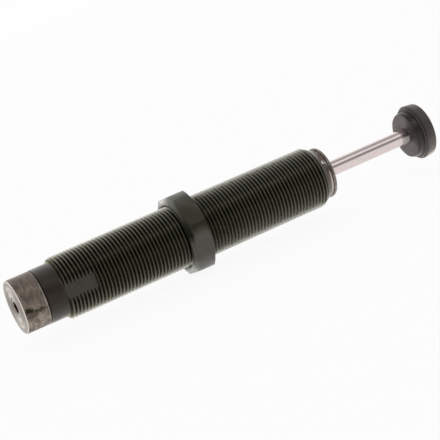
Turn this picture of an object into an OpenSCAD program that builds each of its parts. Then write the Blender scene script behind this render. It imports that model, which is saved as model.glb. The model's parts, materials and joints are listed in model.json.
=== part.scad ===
// Industrial shock absorber with a threaded housing, lock nut and impact head.
// Lengths are in millimetres. The axis is X: the rear face lies at x = 0 and the
// rod leaves the housing towards +X. The wrench flats face +Y and -Y.

/* [Mounting thread] */
// Major diameter of the mounting thread
thread_d = 25; // [24:0.1:27]
// Pitch of the mounting thread
thread_pitch = 1.5; // [1:0.25:2]
// Length of the thread, from its rear chamfer to its front chamfer
thread_len = 113.5; // [106:0.5:130]
// Distance across the two wrench flats at the rear of the thread
flat_af = 22.6; // [22:0.1:24]
// Length of the wrench flats
flat_len = 13.1; // [8:0.1:20]

/* [Housing] */
// Bore of the housing
bore_d = 18.5; // [18:0.1:19]
// Diameter of the plain neck behind the thread
neck_d = 21.75; // [21:0.05:22]
// Length of the plain neck
neck_len = 7.05; // [4:0.05:12]
// Outer diameter of the front end, after its long chamfer
nose_d = 20.1; // [19.8:0.1:21]
// Angle of the long front chamfer, from the axis
nose_angle = 30; // [20:1:45]

/* [Rear plug] */
// Diameter of the rear plug
plug_d = 21.5; // [20.5:0.05:22]
// Length of the plug behind the housing
plug_len = 9.65; // [7:0.05:12]
// Width of the relief between the plug and the housing
seam_w = 0.2; // [0.1:0.05:0.6]
// Depth of that relief below the plug's surface
seam_depth = 0.25; // [0.15:0.05:0.7]
// Length of the plug inside the housing
plug_spigot_len = 7.5; // [6:0.1:9]
// Chamfer on the plug's rear rim
plug_chamfer = 0.35; // [0.2:0.05:0.8]
// Diameter of the fine turned ring on the rear face
face_ring_d = 13.2; // [10:0.1:18]

/* [Adjuster] */
// Diameter of the adjuster spindle in the plug
spindle_d = 8; // [7:0.1:8.6]
// How deep the spindle's end sits below the rear face
spindle_recess = 0.2; // [0.1:0.05:1]
// Hexagon socket, across flats
socket_af = 4; // [3:0.5:5]
// Depth of the hexagon socket
socket_depth = 3.5; // [2.5:0.1:4.5]
// Diameter of the spindle's inner flange
spindle_flange_d = 11.2; // [10.4:0.1:12]
// Thickness of the spindle's inner flange
spindle_flange_t = 1.5; // [1.2:0.1:2]
// Width of the tang that turns the metering sleeve
tang_w = 2.5; // [2:0.1:3.5]
// Space left between the tang's ends and the sleeve's wall
tang_clear = 2; // [1.5:0.1:3]
// Floor thickness of the metering sleeve
sleeve_floor_t = 2; // [1.6:0.1:3]
// Wall of the metering sleeve
sleeve_wall = 1.2; // [0.8:0.05:1.3]
// Length of the metering sleeve over the tube
sleeve_len = 43; // [38:0.5:50]

/* [Pressure tube] */
// Bore of the pressure tube
tube_id = 12; // [11.8:0.05:12.3]
// Wall of the pressure tube
tube_wall = 1.3; // [1.1:0.05:1.5]
// Thickness of the tube's closed end
tube_floor_t = 2.5; // [2:0.1:4]
// Metering orifices along the tube
orifice_count = 5; // [3:1:7]
// Diameter of each metering orifice
orifice_d = 1.2; // [0.8:0.1:1.6]
// Distance from the tube's closed end to the first orifice
orifice_first = 6; // [4:0.5:8]
// Distance from the first orifice to the last
orifice_span = 30; // [24:0.5:31]

/* [Piston] */
// Stroke of the rod
stroke = 40; // [20:0.5:45]
// Free length left between head and gland at the end of the stroke
stop_gap = 0.1; // [0.05:0.05:0.5]
// Length of the piston
piston_len = 9; // [8:0.1:12]
// Width of the piston ring
piston_ring_w = 2; // [1.5:0.1:3]
// Radial depth of the piston ring's groove
piston_ring_depth = 1; // [0.8:0.05:1.2]
// Diameter of the rod's end that carries the piston
journal_d = 4; // [3.6:0.1:4.3]
// Flow holes through the piston
flow_hole_count = 6; // [4:1:8]
// Diameter of each flow hole
flow_hole_d = 1.1; // [0.8:0.05:1.2]
// Thickness of the check valve plate
valve_t = 0.6; // [0.4:0.05:0.8]
// Lift of the check valve plate
valve_lift = 0.5; // [0.3:0.05:0.6]
// Piston nut, across flats
piston_nut_af = 7; // [6.5:0.1:7.2]
// Thickness of the piston nut
piston_nut_t = 2.6; // [2.2:0.1:3.2]

/* [Return spring] */
// Wire diameter
wire_d = 1.1; // [0.9:0.05:1.2]
// Mean diameter of the coils
coil_d = 9.7; // [9.5:0.05:9.8]
// Number of turns, with one dead turn at each end
coil_turns = 13; // [10:1:15]
// Thickness of the spring seat's flange
spring_seat_t = 1; // [0.8:0.1:1.5]

/* [Piston rod] */
// Diameter of the rod
rod_d = 6.3; // [5.6:0.1:6.4]
// Length of the rod inside the head
rod_in_head = 3; // [2:0.1:3.4]
// Chamfer on both ends of the rod's full diameter
rod_chamfer = 0.3; // [0.2:0.05:0.5]

/* [Front bearing] */
// Length of the bearing's head in the housing bore
bearing_head_len = 13; // [12:0.5:16]
// Length of the slim shank inside the foam
bearing_shank_len = 13; // [10:0.5:16]
// Outer diameter of the shank
bearing_shank_d = 10.4; // [10:0.1:11]
// Thickness of the collar that closes the tube
bearing_collar_t = 2.3; // [1.5:0.1:3]
// Length of the spigot inside the tube
bearing_spigot_len = 2; // [1.5:0.1:3]
// Outer diameter of the guide bush
bush_od = 8; // [7.6:0.1:8.4]
// Length of the guide bush
bush_len = 18; // [14:0.5:20]
// Outer diameter of the rod seal
seal_od = 10.8; // [10:0.1:12]
// Height of the rod seal
seal_len = 4; // [3:0.1:4.5]
// Thickness of the washer in front of the seal
seal_washer_t = 0.9; // [0.6:0.1:1.2]
// Radial section of the O-rings in the housing bore
ring_section = 1.5; // [1.2:0.1:1.6]
// Radial section of the O-ring on the adjuster spindle
small_ring_section = 1; // [0.8:0.1:1.2]

/* [Front gland] */
// Diameter of the gland's rim
gland_d = 21.1; // [20.5:0.1:22]
// Length of the gland's rim
gland_rim_len = 1.5; // [1.2:0.1:4]
// Rounding of the rim's front edge
gland_round = 0.8; // [0.3:0.05:1]
// Width of the groove between housing and rim
gland_groove_w = 0.9; // [0.5:0.1:1.5]
// Diameter at the bottom of that groove
gland_groove_d = 19.5; // [19.1:0.1:19.8]
// Length of the gland inside the housing
gland_spigot_len = 4.5; // [3.5:0.1:6]
// Outer diameter of the wiper
wiper_od = 10.6; // [9.6:0.1:12]
// Height of the wiper
wiper_len = 3.1; // [2.4:0.1:3.4]

/* [Impact head] */
// Diameter of the head's hub
hub_d = 19.2; // [17:0.1:20]
// Length of the hub
hub_len = 2.8; // [2.4:0.1:5]
// Length of the hub's rear chamfer along the axis
hub_chamfer = 0.9; // [0.4:0.1:1.4]
// Width of the small relief round the rod in the hub's face
hub_relief_w = 0.25; // [0.1:0.05:0.6]
// Depth of that relief
hub_relief_depth = 0.3; // [0.1:0.05:0.6]
// Diameter of the thin flange in front of the hub
flange_d = 21.2; // [20.4:0.1:22]
// Thickness of the flange
flange_t = 0.65; // [0.4:0.05:1]
// Diameter of the impact cap at its rear edge
cap_d = 22.9; // [22:0.1:24]
// Taper of the impact cap, on the diameter
cap_taper = 0.5; // [0:0.1:1]
// Thickness of the impact cap's disc
cap_t = 3.9; // [3:0.1:5]
// Rounding of the cap's front edge
cap_round = 0.35; // [0.2:0.05:0.8]
// Gap between the flange and the cap's disc
cap_gap = 0.4; // [0.2:0.05:0.6]
// Diameter of the neck that bridges that gap
cap_neck_d = 20.2; // [18:0.1:20.3]
// Diameter of the boss that holds the cap
boss_d = 12; // [10:0.1:14]
// Length of the boss
boss_len = 2; // [1.8:0.1:2.4]

/* [Lock nut] */
// Lock nut, across flats
nut_af = 31; // [29.5:0.1:32]
// Diameter that the nut's corners are turned down to
nut_corner_d = 33.6; // [32.5:0.1:34]
// Diameter of the nut's flat faces
nut_face_d = 28.6; // [28:0.1:29]
// Angle of the nut's outer chamfers, from its faces
nut_chamfer_angle = 30; // [15:1:45]
// Length of the nut
nut_len = 9.3; // [7:0.1:12]
// Distance from the rear end of the thread to the nut
nut_place = 51.8; // [15:0.1:90]
// Angle of one corner of the nut, above the -Y wrench flat
nut_clock = 11; // [0:1:60]

/* [Fits] */
// Radial clearance of turning and sliding pieces
running_gap = 0.03; // [0.02:0.01:0.05]
// Clearance between pieces that are only assembled together
seat_gap = 0.02; // [0.01:0.01:0.04]
// Radial clearance of the lock nut on the thread
nut_gap = 0.05; // [0.03:0.01:0.1]
// Clearance between oil-filled parts that never touch
oil_gap = 0.3; // [0.2:0.05:0.4]

/* [Hidden] */

$fn = 96;
past = 1; // how far a cutting shape runs past the surface it cuts

thread_r = thread_d / 2;
thread_depth = 0.613 * thread_pitch;
bore_r = bore_d / 2;
neck_r = neck_d / 2;
nose_r = nose_d / 2;
rod_r = rod_d / 2;
tube_r = tube_id / 2;
tube_od = tube_id + 2 * tube_wall;
edge = 0.15; // light edge break on small turned pieces

// Stations along the axis, from the rear
seam_x = plug_len;
neck_x = seam_x + seam_w;
thread_x = neck_x + neck_len;
thread_full_x = thread_x + thread_r - neck_r;
thread_end_x = thread_x + thread_len;
nose_x = thread_end_x + (thread_r - nose_r) / tan(nose_angle);
rim_x = nose_x + gland_groove_w;
front_x = rim_x + gland_rim_len;
head_x = front_x + stroke + stop_gap;

// Rear end: plug, adjuster, metering sleeve and pressure tube
spigot_end_x = neck_x + plug_spigot_len;
plug_recess_x = spigot_end_x - spindle_flange_t - 2 * running_gap - 0.2;
spindle_flange_x = plug_recess_x + running_gap;
spindle_face_x = spindle_flange_x + spindle_flange_t;
sleeve_x = spigot_end_x + running_gap;
tube_x = sleeve_x + sleeve_floor_t + running_gap;
tube_floor_x = tube_x + tube_floor_t;
sleeve_end_x = tube_x + sleeve_len;
tang_end_x = sleeve_x + sleeve_floor_t - running_gap;
sleeve_ir = tube_od / 2 + running_gap;
tang_len = 2 * (sleeve_ir - tang_clear);

// Front end: gland, seal, bearing
gland_rear_x = nose_x - gland_spigot_len;
seal_washer_x = gland_rear_x - seal_washer_t;
seal_x = seal_washer_x - seal_len;
bearing_head_x = gland_rear_x - bearing_head_len;
bearing_shank_x = bearing_head_x - bearing_shank_len;
bearing_collar_x = bearing_shank_x - bearing_collar_t;
bearing_rear_x = bearing_collar_x - bearing_spigot_len;
bush_front_x = seal_x - 1;
bush_x = bush_front_x - bush_len;
wiper_x = front_x - 0.4 - wiper_len;

// Piston group at rest, with the rod fully out
piston_front_x = bearing_rear_x - stop_gap;
piston_x = piston_front_x - piston_len;
rod_shoulder_x = piston_front_x - 2 / 9 * piston_len;
valve_x = piston_x - valve_lift / 2 - valve_t;
spring_seat_x = valve_x - valve_lift / 2 - spring_seat_t;
piston_nut_x = spring_seat_x - piston_nut_t;
rod_rear_x = piston_nut_x - 0.6;
piston_ring_x = piston_x + 4 / 9 * piston_len;
spacer_r = journal_d / 2 + 1;

// Impact head
rod_front_x = head_x + rod_in_head;
flange_x = head_x + hub_len;
boss_x = flange_x + flange_t;
boss_end_x = boss_x + boss_len;
cap_x = boss_x + cap_gap;
cap_front_x = cap_x + cap_t;
screw_d = 3;
screw_head_d = 5.5;
screw_head_t = 1.4;
screw_len = 9;

nut_x = thread_x + nut_place;

// A solid turned about the X axis from a profile of [x, radius] points
module turned(profile) {
    rotate([0, 90, 0]) rotate_extrude() polygon([for (p = profile) [p[1], p[0]]]);
}

// A cylinder on the X axis from one station to another
module bar(x0, x1, r, r1 = undef) {
    translate([x0, 0, 0]) rotate([0, 90, 0]) cylinder(h = x1 - x0, r1 = r, r2 = is_undef(r1) ? r : r1);
}

// A hexagonal prism on the X axis, with one corner towards -Y
module hex_bar(x0, x1, af) {
    translate([x0, 0, 0]) rotate([0, 90, 0]) rotate([0, 0, 90])
        cylinder(h = x1 - x0, d = af / cos(30), $fn = 6);
}

// A plain ring between two stations and two radii
module ring(x0, x1, r_in, r_out) {
    turned([[x0, r_in], [x0, r_out], [x1, r_out], [x1, r_in]]);
}

// A ring with all four edges lightly broken
module eased_ring(x0, x1, r_in, r_out, e = edge) {
    turned([
        [x0, r_in + e], [x0, r_out - e], [x0 + e, r_out], [x1 - e, r_out],
        [x1, r_out - e], [x1, r_in + e], [x1 - e, r_in], [x0 + e, r_in],
    ]);
}

// An O-ring of round section that touches both r_in and r_out
module o_ring(x, r_in, r_out) {
    rotate([0, 90, 0]) rotate_extrude()
        translate([(r_in + r_out) / 2, x]) circle(r = (r_out - r_in) / 2, $fn = 32);
}

// The groove for such an O-ring, cut from outside down to r_in
module o_ring_groove(x, r_in, r_out) {
    half = 0.65 * (r_out - r_in);
    ring(x - half, x + half, r_in, r_out + past);
}

// Copies of a child, evenly spaced round the X axis
module round_x(count) {
    for (i = [0:count - 1]) rotate([360 * i / count, 0, 0]) children();
}

plug_ring_x = neck_x + plug_spigot_len / 2;
bearing_ring_x = bearing_head_x + 3.5;
housing_ring_r = bore_r - ring_section;
spindle_ring_x = plug_recess_x / 2 + 1;
spindle_r = spindle_d / 2;
spindle_bore_r = spindle_r + running_gap;
spindle_ring_r = spindle_bore_r - small_ring_section;

module outer_body() {
    color("#33342f")
    difference() {
        turned([
            [neck_x, bore_r], [neck_x, neck_r - edge], [neck_x + edge, neck_r],
            [thread_x, neck_r], [thread_full_x, thread_r], [thread_end_x, thread_r],
            [nose_x, nose_r], [nose_x, bore_r],
        ]);
        for (side = [0, 1]) mirror([0, side, 0])
            translate([thread_x - past, -thread_d, -thread_r])
                cube([flat_len + past, thread_d - flat_af / 2, thread_d]);
    }
}

module rear_plug() {
    plug_r = plug_d / 2;
    spigot_r = bore_r - seat_gap;
    color("#8c8078")
    difference() {
        turned([
            [0, 0], [0, plug_r - plug_chamfer], [plug_chamfer, plug_r],
            [seam_x - edge, plug_r], [seam_x, plug_r - edge], [seam_x, plug_r - seam_depth],
            [neck_x, plug_r - seam_depth], [neck_x, spigot_r],
            [spigot_end_x - edge, spigot_r], [spigot_end_x, spigot_r - edge], [spigot_end_x, 0],
        ]);
        bar(-past, spigot_end_x + past, spindle_bore_r);
        bar(-0.01, edge, spindle_bore_r + edge, spindle_bore_r);
        bar(plug_recess_x, spigot_end_x + past, spindle_flange_d / 2 + 0.1);
        ring(-past, 0.15, face_ring_d / 2 - 0.15, face_ring_d / 2 + 0.15);
        o_ring_groove(plug_ring_x, housing_ring_r, spigot_r);
    }
}

module plug_o_ring() {
    color("#1c1c1c") o_ring(plug_ring_x, housing_ring_r, bore_r);
}

module adjuster_spindle() {
    color("#9a948c")
    difference() {
        union() {
            turned([
                [spindle_recess, 0], [spindle_recess, spindle_r - edge],
                [spindle_recess + edge, spindle_r], [spindle_flange_x, spindle_r],
                [spindle_flange_x, spindle_flange_d / 2], [spindle_face_x, spindle_flange_d / 2],
                [spindle_face_x, 0],
            ]);
            translate([spindle_face_x - past, -tang_w / 2, -tang_len / 2])
                cube([tang_end_x - spindle_face_x + past, tang_w, tang_len]);
        }
        hex_bar(spindle_recess - past, spindle_recess + socket_depth, socket_af);
        bar(spindle_recess - 0.05, spindle_recess + 0.35,
            socket_af / 2 / cos(30) + 0.12, socket_af / 2 - 0.05);
        o_ring_groove(spindle_ring_x, spindle_ring_r, spindle_r);
    }
}

module spindle_o_ring() {
    color("#1c1c1c") o_ring(spindle_ring_x, spindle_ring_r, spindle_bore_r);
}

// Stations of the metering orifices: close together where the stroke begins
function orifice_x(i) =
    tube_floor_x + orifice_first + orifice_span * pow(i / (orifice_count - 1), 0.8);

module metering_sleeve() {
    sleeve_or = sleeve_ir + sleeve_wall;
    window_len = 2 * orifice_d;
    color("#b8a36a")
    difference() {
        bar(sleeve_x, sleeve_end_x, sleeve_or);
        bar(sleeve_x + sleeve_floor_t, sleeve_end_x + past, sleeve_ir);
        translate([sleeve_x - past, -tang_w / 2 - seat_gap, -tang_len / 2 - seat_gap])
            cube([sleeve_floor_t + 2 * past, tang_w + 2 * seat_gap, tang_len + 2 * seat_gap]);
        // windows that widen towards the rear, so that turning the sleeve uncovers more
        for (i = [0:orifice_count - 1]) {
            window_w = orifice_d * (3 - 1.5 * i / (orifice_count - 1));
            translate([orifice_x(i) - window_len / 2, -orifice_d, 0])
                cube([window_len, window_w, sleeve_or + past]);
        }
    }
}

module pressure_tube() {
    color("#a9a9a9")
    difference() {
        bar(tube_x, bearing_collar_x, tube_od / 2);
        bar(tube_floor_x, bearing_collar_x + past, tube_r);
        for (i = [0:orifice_count - 1])
            translate([orifice_x(i), 0, 0]) cylinder(h = tube_od, d = orifice_d, $fn = 24);
    }
}

// Centre of the wire after t turns: one dead turn at each end, even pitch between
function wire_x(t, x0, x1, turns) =
    let (dead = wire_d * 1.02, live = x1 - x0 - wire_d - 2 * dead)
    x0 + wire_d / 2 + dead * min(t, 1)
        + live * min(max(t - 1, 0), turns - 2) / (turns - 2)
        + dead * max(t - turns + 1, 0);

// Round wire wound about the X axis from x0 to x1
module coil(x0, x1, turns) {
    sides = 8;
    steps = 20;
    last = steps * turns;
    r = wire_d / 2;
    points = [
        for (i = [0:last], j = [0:sides - 1])
            let (a = 360 * i / steps, b = 360 * j / sides, reach = coil_d / 2 + r * cos(b))
            [wire_x(i / steps, x0, x1, turns) + r * sin(b), reach * cos(a), reach * sin(a)]
    ];
    skin = [
        for (i = [0:last - 1], j = [0:sides - 1])
            let (k = (j + 1) % sides, a = i * sides, b = a + sides)
            each [[a + j, b + j, b + k], [a + j, b + k, a + k]]
    ];
    first_cap = [for (j = [0:sides - 1]) j];
    last_cap = [for (j = [sides - 1:-1:0]) last * sides + j];
    polyhedron(points, concat(skin, [first_cap], [last_cap]));
}

module return_spring() {
    color("#77736b") coil(tube_floor_x, spring_seat_x, coil_turns);
}

module spring_seat() {
    color("#8e8e8e") difference() {
        union() {
            bar(spring_seat_x, spring_seat_x + spring_seat_t, tube_r - oil_gap);
            bar(spring_seat_x, piston_x, spacer_r);
        }
        bar(spring_seat_x - past, piston_x + past, journal_d / 2);
    }
}

module piston_nut() {
    color("#8e8e8e") difference() {
        hex_bar(piston_nut_x, spring_seat_x, piston_nut_af);
        bar(piston_nut_x - past, spring_seat_x + past, journal_d / 2);
    }
}

module check_valve_plate() {
    color("#9c9c9c") ring(valve_x, valve_x + valve_t, spacer_r + seat_gap, tube_r - 2 * oil_gap);
}

module piston() {
    piston_r = tube_r - running_gap;
    flow_r = (rod_r + piston_r - piston_ring_depth) / 2;
    color("#a39b8b")
    difference() {
        turned([
            [piston_x, 0], [piston_x, piston_r - edge], [piston_x + edge, piston_r],
            [piston_front_x - edge, piston_r], [piston_front_x, piston_r - edge],
            [piston_front_x, 0],
        ]);
        bar(piston_x - past, piston_front_x + past, journal_d / 2);
        bar(rod_shoulder_x, piston_front_x + past, rod_r);
        ring(piston_ring_x, piston_ring_x + piston_ring_w, piston_r - piston_ring_depth, piston_r + past);
        round_x(flow_hole_count) translate([0, 0, flow_r]) bar(piston_x - past, piston_front_x + past, flow_hole_d / 2);
    }
}

module piston_ring() {
    color("#5b5348")
        ring(piston_ring_x + seat_gap, piston_ring_x + piston_ring_w - seat_gap,
             tube_r - running_gap - piston_ring_depth, tube_r - running_gap / 2);
}

module piston_rod() {
    journal_r = journal_d / 2;
    color("#d8d4d4")
    difference() {
        turned([
            [rod_rear_x, 0], [rod_rear_x, journal_r - edge], [rod_rear_x + edge, journal_r],
            [rod_shoulder_x, journal_r], [rod_shoulder_x, rod_r - rod_chamfer],
            [rod_shoulder_x + rod_chamfer, rod_r], [rod_front_x - rod_chamfer, rod_r],
            [rod_front_x, rod_r - rod_chamfer], [rod_front_x, 0],
        ]);
        bar(rod_front_x + screw_head_t - screw_len, rod_front_x + past, screw_d / 2);
    }
}

module foam_accumulator() {
    color("#4a4a48")
        ring(bearing_shank_x + oil_gap, bearing_head_x - oil_gap,
             bearing_shank_d / 2 + seat_gap, bore_r - oil_gap / 2);
}

module front_bearing() {
    head_r = bore_r - seat_gap;
    color("#7f7f7c")
    difference() {
        turned([
            [bearing_rear_x, 0], [bearing_rear_x, tube_r - seat_gap - edge],
            [bearing_rear_x + edge, tube_r - seat_gap], [bearing_collar_x, tube_r - seat_gap],
            [bearing_collar_x, tube_od / 2], [bearing_shank_x, tube_od / 2],
            [bearing_shank_x, bearing_shank_d / 2], [bearing_head_x, bearing_shank_d / 2],
            [bearing_head_x, head_r - edge], [bearing_head_x + edge, head_r],
            [gland_rear_x, head_r], [gland_rear_x, 0],
        ]);
        bar(bearing_rear_x - past, gland_rear_x, rod_r + oil_gap);
        bar(bush_x, gland_rear_x, bush_od / 2);
        bar(seal_x, gland_rear_x + past, seal_od / 2);
        o_ring_groove(bearing_ring_x, housing_ring_r, head_r);
    }
}

module guide_bush() {
    color("#b08d57") ring(bush_x, bush_front_x, rod_r + running_gap, bush_od / 2);
}

module bearing_o_ring() {
    color("#1c1c1c") o_ring(bearing_ring_x, housing_ring_r, bore_r);
}

// A lip seal: a solid heel in front, and two lips with a V between them behind
module rod_seal() {
    lip_r = rod_r + running_gap;
    outer_r = seal_od / 2;
    wall = (outer_r - lip_r) / 3;
    color("#26332c")
    turned([
        [seal_x, lip_r], [seal_x, lip_r + wall / 2], [seal_x + seal_len * 0.55, lip_r + 1.5 * wall],
        [seal_x, outer_r - wall / 2], [seal_x, outer_r], [seal_washer_x, outer_r],
        [seal_washer_x, lip_r + 0.15], [seal_x + seal_len / 3, lip_r + 0.15],
    ]);
}

module seal_washer() {
    color("#8e8e8e") ring(seal_washer_x, gland_rear_x, rod_r + 0.15, seal_od / 2 - seat_gap);
}

module front_gland() {
    spigot_r = bore_r - seat_gap;
    rim_r = gland_d / 2;
    round_steps = 6;
    color("#2b2b29")
    difference() {
        turned(concat(
            [[gland_rear_x, 0], [gland_rear_x, spigot_r], [nose_x, spigot_r],
             [nose_x, gland_groove_d / 2], [rim_x, gland_groove_d / 2], [rim_x, rim_r - edge],
             [rim_x + edge, rim_r]],
            [for (i = [0:round_steps])
                let (a = 90 * i / round_steps)
                [front_x - gland_round * (1 - sin(a)), rim_r - gland_round * (1 - cos(a))]],
            [[front_x, 0]]
        ));
        bar(gland_rear_x - past, front_x, rod_r + 0.2);
        bar(wiper_x, front_x + past, wiper_od / 2);
    }
}

// A wiper ring with one lip that points out of the gland
module wiper() {
    lip_r = rod_r + running_gap;
    outer_r = wiper_od / 2;
    lip_x = wiper_x + wiper_len;
    color("#1f1f1e")
    turned([
        [wiper_x, lip_r + 0.3], [wiper_x, outer_r], [lip_x - 0.5, outer_r],
        [lip_x - 1.2, lip_r + 1], [lip_x, lip_r + 0.25], [lip_x - 0.2, lip_r],
        [lip_x - 0.9, lip_r + 0.3],
    ]);
}

module rod_button() {
    hub_r = hub_d / 2;
    flange_r = flange_d / 2;
    screw_seat_x = rod_front_x + 1;
    color("#5d5b57")
    difference() {
        turned([
            [head_x, 0], [head_x, hub_r - hub_chamfer / 2], [head_x + hub_chamfer, hub_r],
            [flange_x, hub_r], [flange_x, flange_r - edge], [flange_x + edge, flange_r],
            [boss_x - edge, flange_r], [boss_x, flange_r - edge], [boss_x, boss_d / 2],
            [boss_end_x, boss_d / 2], [boss_end_x, 0],
        ]);
        bar(head_x - past, rod_front_x, rod_r);
        bar(head_x - past, head_x + hub_relief_depth, rod_r + hub_relief_w);
        bar(head_x, boss_end_x + past, screw_d / 2);
        bar(screw_seat_x, boss_end_x + past, screw_head_d / 2 + 0.1);
    }
}

module button_screw() {
    seat_x = rod_front_x + 1;
    color("#6f6f6f")
    difference() {
        union() {
            bar(seat_x, seat_x + screw_head_t, screw_head_d / 2);
            bar(seat_x + 0.4 - screw_len, seat_x, screw_d / 2);
        }
        hex_bar(seat_x + 0.4, seat_x + screw_head_t + past, 2);
    }
}

module impact_cap() {
    cap_r = cap_d / 2;
    front_r = cap_r - cap_taper / 2;
    round_steps = 5;
    color("#3b3b39")
    difference() {
        turned(concat(
            [[boss_x, 0], [boss_x, cap_neck_d / 2], [cap_x, cap_neck_d / 2],
             [cap_x, cap_r - edge], [cap_x + edge, cap_r]],
            [for (i = [0:round_steps])
                let (a = 90 * i / round_steps)
                [cap_front_x - cap_round * (1 - sin(a)), front_r - cap_round * (1 - cos(a))]],
            [[cap_front_x, 0]]
        ));
        bar(boss_x - past, boss_end_x, boss_d / 2);
    }
}

module lock_nut() {
    chamfer = (nut_corner_d - nut_face_d) / 2 * tan(nut_chamfer_angle);
    end_x = nut_x + nut_len;
    hole_r = thread_r + nut_gap;
    lead = thread_depth;
    color("#5e5e56")
    difference() {
        intersection() {
            rotate([-nut_clock, 0, 0]) hex_bar(nut_x, end_x, nut_af);
            turned([
                [nut_x, 0], [nut_x, nut_face_d / 2], [nut_x + chamfer, nut_corner_d / 2],
                [end_x - chamfer, nut_corner_d / 2], [end_x, nut_face_d / 2], [end_x, 0],
            ]);
        }
        bar(nut_x - past, end_x + past, hole_r);
        bar(nut_x - 0.01, nut_x + lead, hole_r + lead, hole_r);
        bar(end_x - lead, end_x + 0.01, hole_r, hole_r + lead);
    }
}

outer_body();
rear_plug();
plug_o_ring();
adjuster_spindle();
spindle_o_ring();
metering_sleeve();
pressure_tube();
return_spring();
spring_seat();
piston_nut();
check_valve_plate();
piston();
piston_ring();
piston_rod();
foam_accumulator();
front_bearing();
guide_bush();
bearing_o_ring();
rod_seal();
seal_washer();
front_gland();
wiper();
rod_button();
button_screw();
impact_cap();
lock_nut();
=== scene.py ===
"""Studio scene of an industrial shock absorber with a threaded housing.

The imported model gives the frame: the axis is X, the rear face lies at x = 0, and
the rod leaves the housing towards +X. Every piece is modelled in metres at its
own place, rides on its body, and takes the place of the plain CAD node.
"""

from __future__ import annotations

import json
import logging
import math
from collections.abc import Callable, Sequence
from dataclasses import dataclass
from enum import Enum
from functools import cached_property

import bpy
from mathutils import Matrix, Vector

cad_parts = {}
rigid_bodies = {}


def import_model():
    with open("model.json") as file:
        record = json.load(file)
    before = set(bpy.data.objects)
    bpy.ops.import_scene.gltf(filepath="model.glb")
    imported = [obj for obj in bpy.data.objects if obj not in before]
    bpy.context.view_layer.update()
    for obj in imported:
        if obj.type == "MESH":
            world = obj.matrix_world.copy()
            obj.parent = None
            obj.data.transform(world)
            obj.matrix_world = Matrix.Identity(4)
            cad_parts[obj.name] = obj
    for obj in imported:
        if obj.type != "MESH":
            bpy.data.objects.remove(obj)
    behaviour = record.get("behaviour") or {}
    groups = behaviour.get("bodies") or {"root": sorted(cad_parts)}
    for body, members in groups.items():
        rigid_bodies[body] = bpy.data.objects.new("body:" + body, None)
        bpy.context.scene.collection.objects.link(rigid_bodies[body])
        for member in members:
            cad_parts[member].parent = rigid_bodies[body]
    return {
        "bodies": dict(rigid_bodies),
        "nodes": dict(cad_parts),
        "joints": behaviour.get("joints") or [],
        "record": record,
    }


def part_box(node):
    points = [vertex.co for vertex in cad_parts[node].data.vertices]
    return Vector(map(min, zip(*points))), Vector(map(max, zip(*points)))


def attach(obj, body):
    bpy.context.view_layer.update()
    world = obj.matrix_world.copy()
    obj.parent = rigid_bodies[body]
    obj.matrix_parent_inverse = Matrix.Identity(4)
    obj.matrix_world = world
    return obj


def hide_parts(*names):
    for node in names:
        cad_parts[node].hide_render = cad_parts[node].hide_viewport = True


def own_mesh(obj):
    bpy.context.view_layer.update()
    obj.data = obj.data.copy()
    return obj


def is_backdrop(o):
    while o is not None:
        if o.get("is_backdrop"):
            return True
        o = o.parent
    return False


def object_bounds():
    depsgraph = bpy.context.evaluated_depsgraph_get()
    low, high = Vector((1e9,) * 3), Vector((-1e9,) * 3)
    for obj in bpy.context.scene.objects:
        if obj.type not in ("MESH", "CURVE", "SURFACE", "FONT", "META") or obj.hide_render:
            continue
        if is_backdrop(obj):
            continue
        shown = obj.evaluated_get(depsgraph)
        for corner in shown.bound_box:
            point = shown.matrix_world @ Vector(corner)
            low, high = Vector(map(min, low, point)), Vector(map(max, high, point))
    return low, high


LOG = logging.getLogger("shock_absorber")
MM = 0.001
Colour = tuple[float, float, float]
Point = tuple[float, float, float]
Thing = bpy.types.Object
Material = bpy.types.Material
Tree = bpy.types.NodeTree
Node = bpy.types.Node
Socket = bpy.types.NodeSocket
Sockets = dict[str, Socket]

# sizes that several pieces share, in millimetres
EDGE = 0.15  # chamfer of a turned edge
OVERLAP = 0.001  # keeps two faces apart that would lie in one plane
SPARE = 1.0  # how far a cutting tool stands out of the piece
SEAM_GAP = 0.2  # from the plug's wall to the housing's neck
ROD_PLAY = 0.2  # round the rod, in the gland
GLAND_GROOVE = 0.9  # width of the groove behind the gland's rim
SHOULDER_SEAT = 2.0  # how deep the rod's shoulder sits in the piston


class Body(Enum):
    """The rigid bodies that new pieces ride on."""

    HOUSING = "housing"
    ROD = "rod"
    NUT = "nut"


class Cut(Enum):
    """What a boolean modifier does with its tool."""

    KEEP_COMMON = "INTERSECT"
    REMOVE = "DIFFERENCE"


@dataclass(frozen=True)
class Ring:
    """One ring of a turned outline.

    Attributes:
        x: Place along the axis, in millimetres.
        r: Radius, in millimetres.
    """

    x: float
    r: float


@dataclass(frozen=True)
class Fade:
    """A smooth change from one value to another, held at its ends.

    Attributes:
        start: Where the change starts.
        end: Where it ends.
        before: The value up to the start.
        after: The value from the end on.
    """

    start: float
    end: float
    before: float = 0
    after: float = 1

    def moved(self, by: float) -> Fade:
        """Gives the same fade at another place."""
        return Fade(self.start + by, self.end + by, self.before, self.after)


@dataclass(frozen=True)
class Band:
    """A narrow range of a length, in millimetres.

    Attributes:
        centre: Its middle.
        half: Half its width.
        soft: Width of its soft border.
    """

    centre: float
    half: float
    soft: float


@dataclass(frozen=True)
class Spot:
    """A ragged spot on a piece.

    Attributes:
        centre: Its place, in millimetres.
        reach: Its half sizes along the axes, in millimetres.
        ragged: How far its border wanders, as a share of its size.
        scale: Scale of the border's noise, per metre.
        soft: Width of the border, as a share of the spot's half size.
        share: Its strength.
        middle: Distance of the border's middle, as a share of the half size.
    """

    centre: Point
    reach: Point
    ragged: float
    scale: float
    soft: float = 0.5
    share: float = 1.0
    middle: float = 0.9

    def border(self) -> Fade:
        """Gives the fade over the border, by the distance as a share of the half size."""
        return Fade(self.middle - self.soft / 2, self.middle + self.soft / 2, 1, 0)


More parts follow.
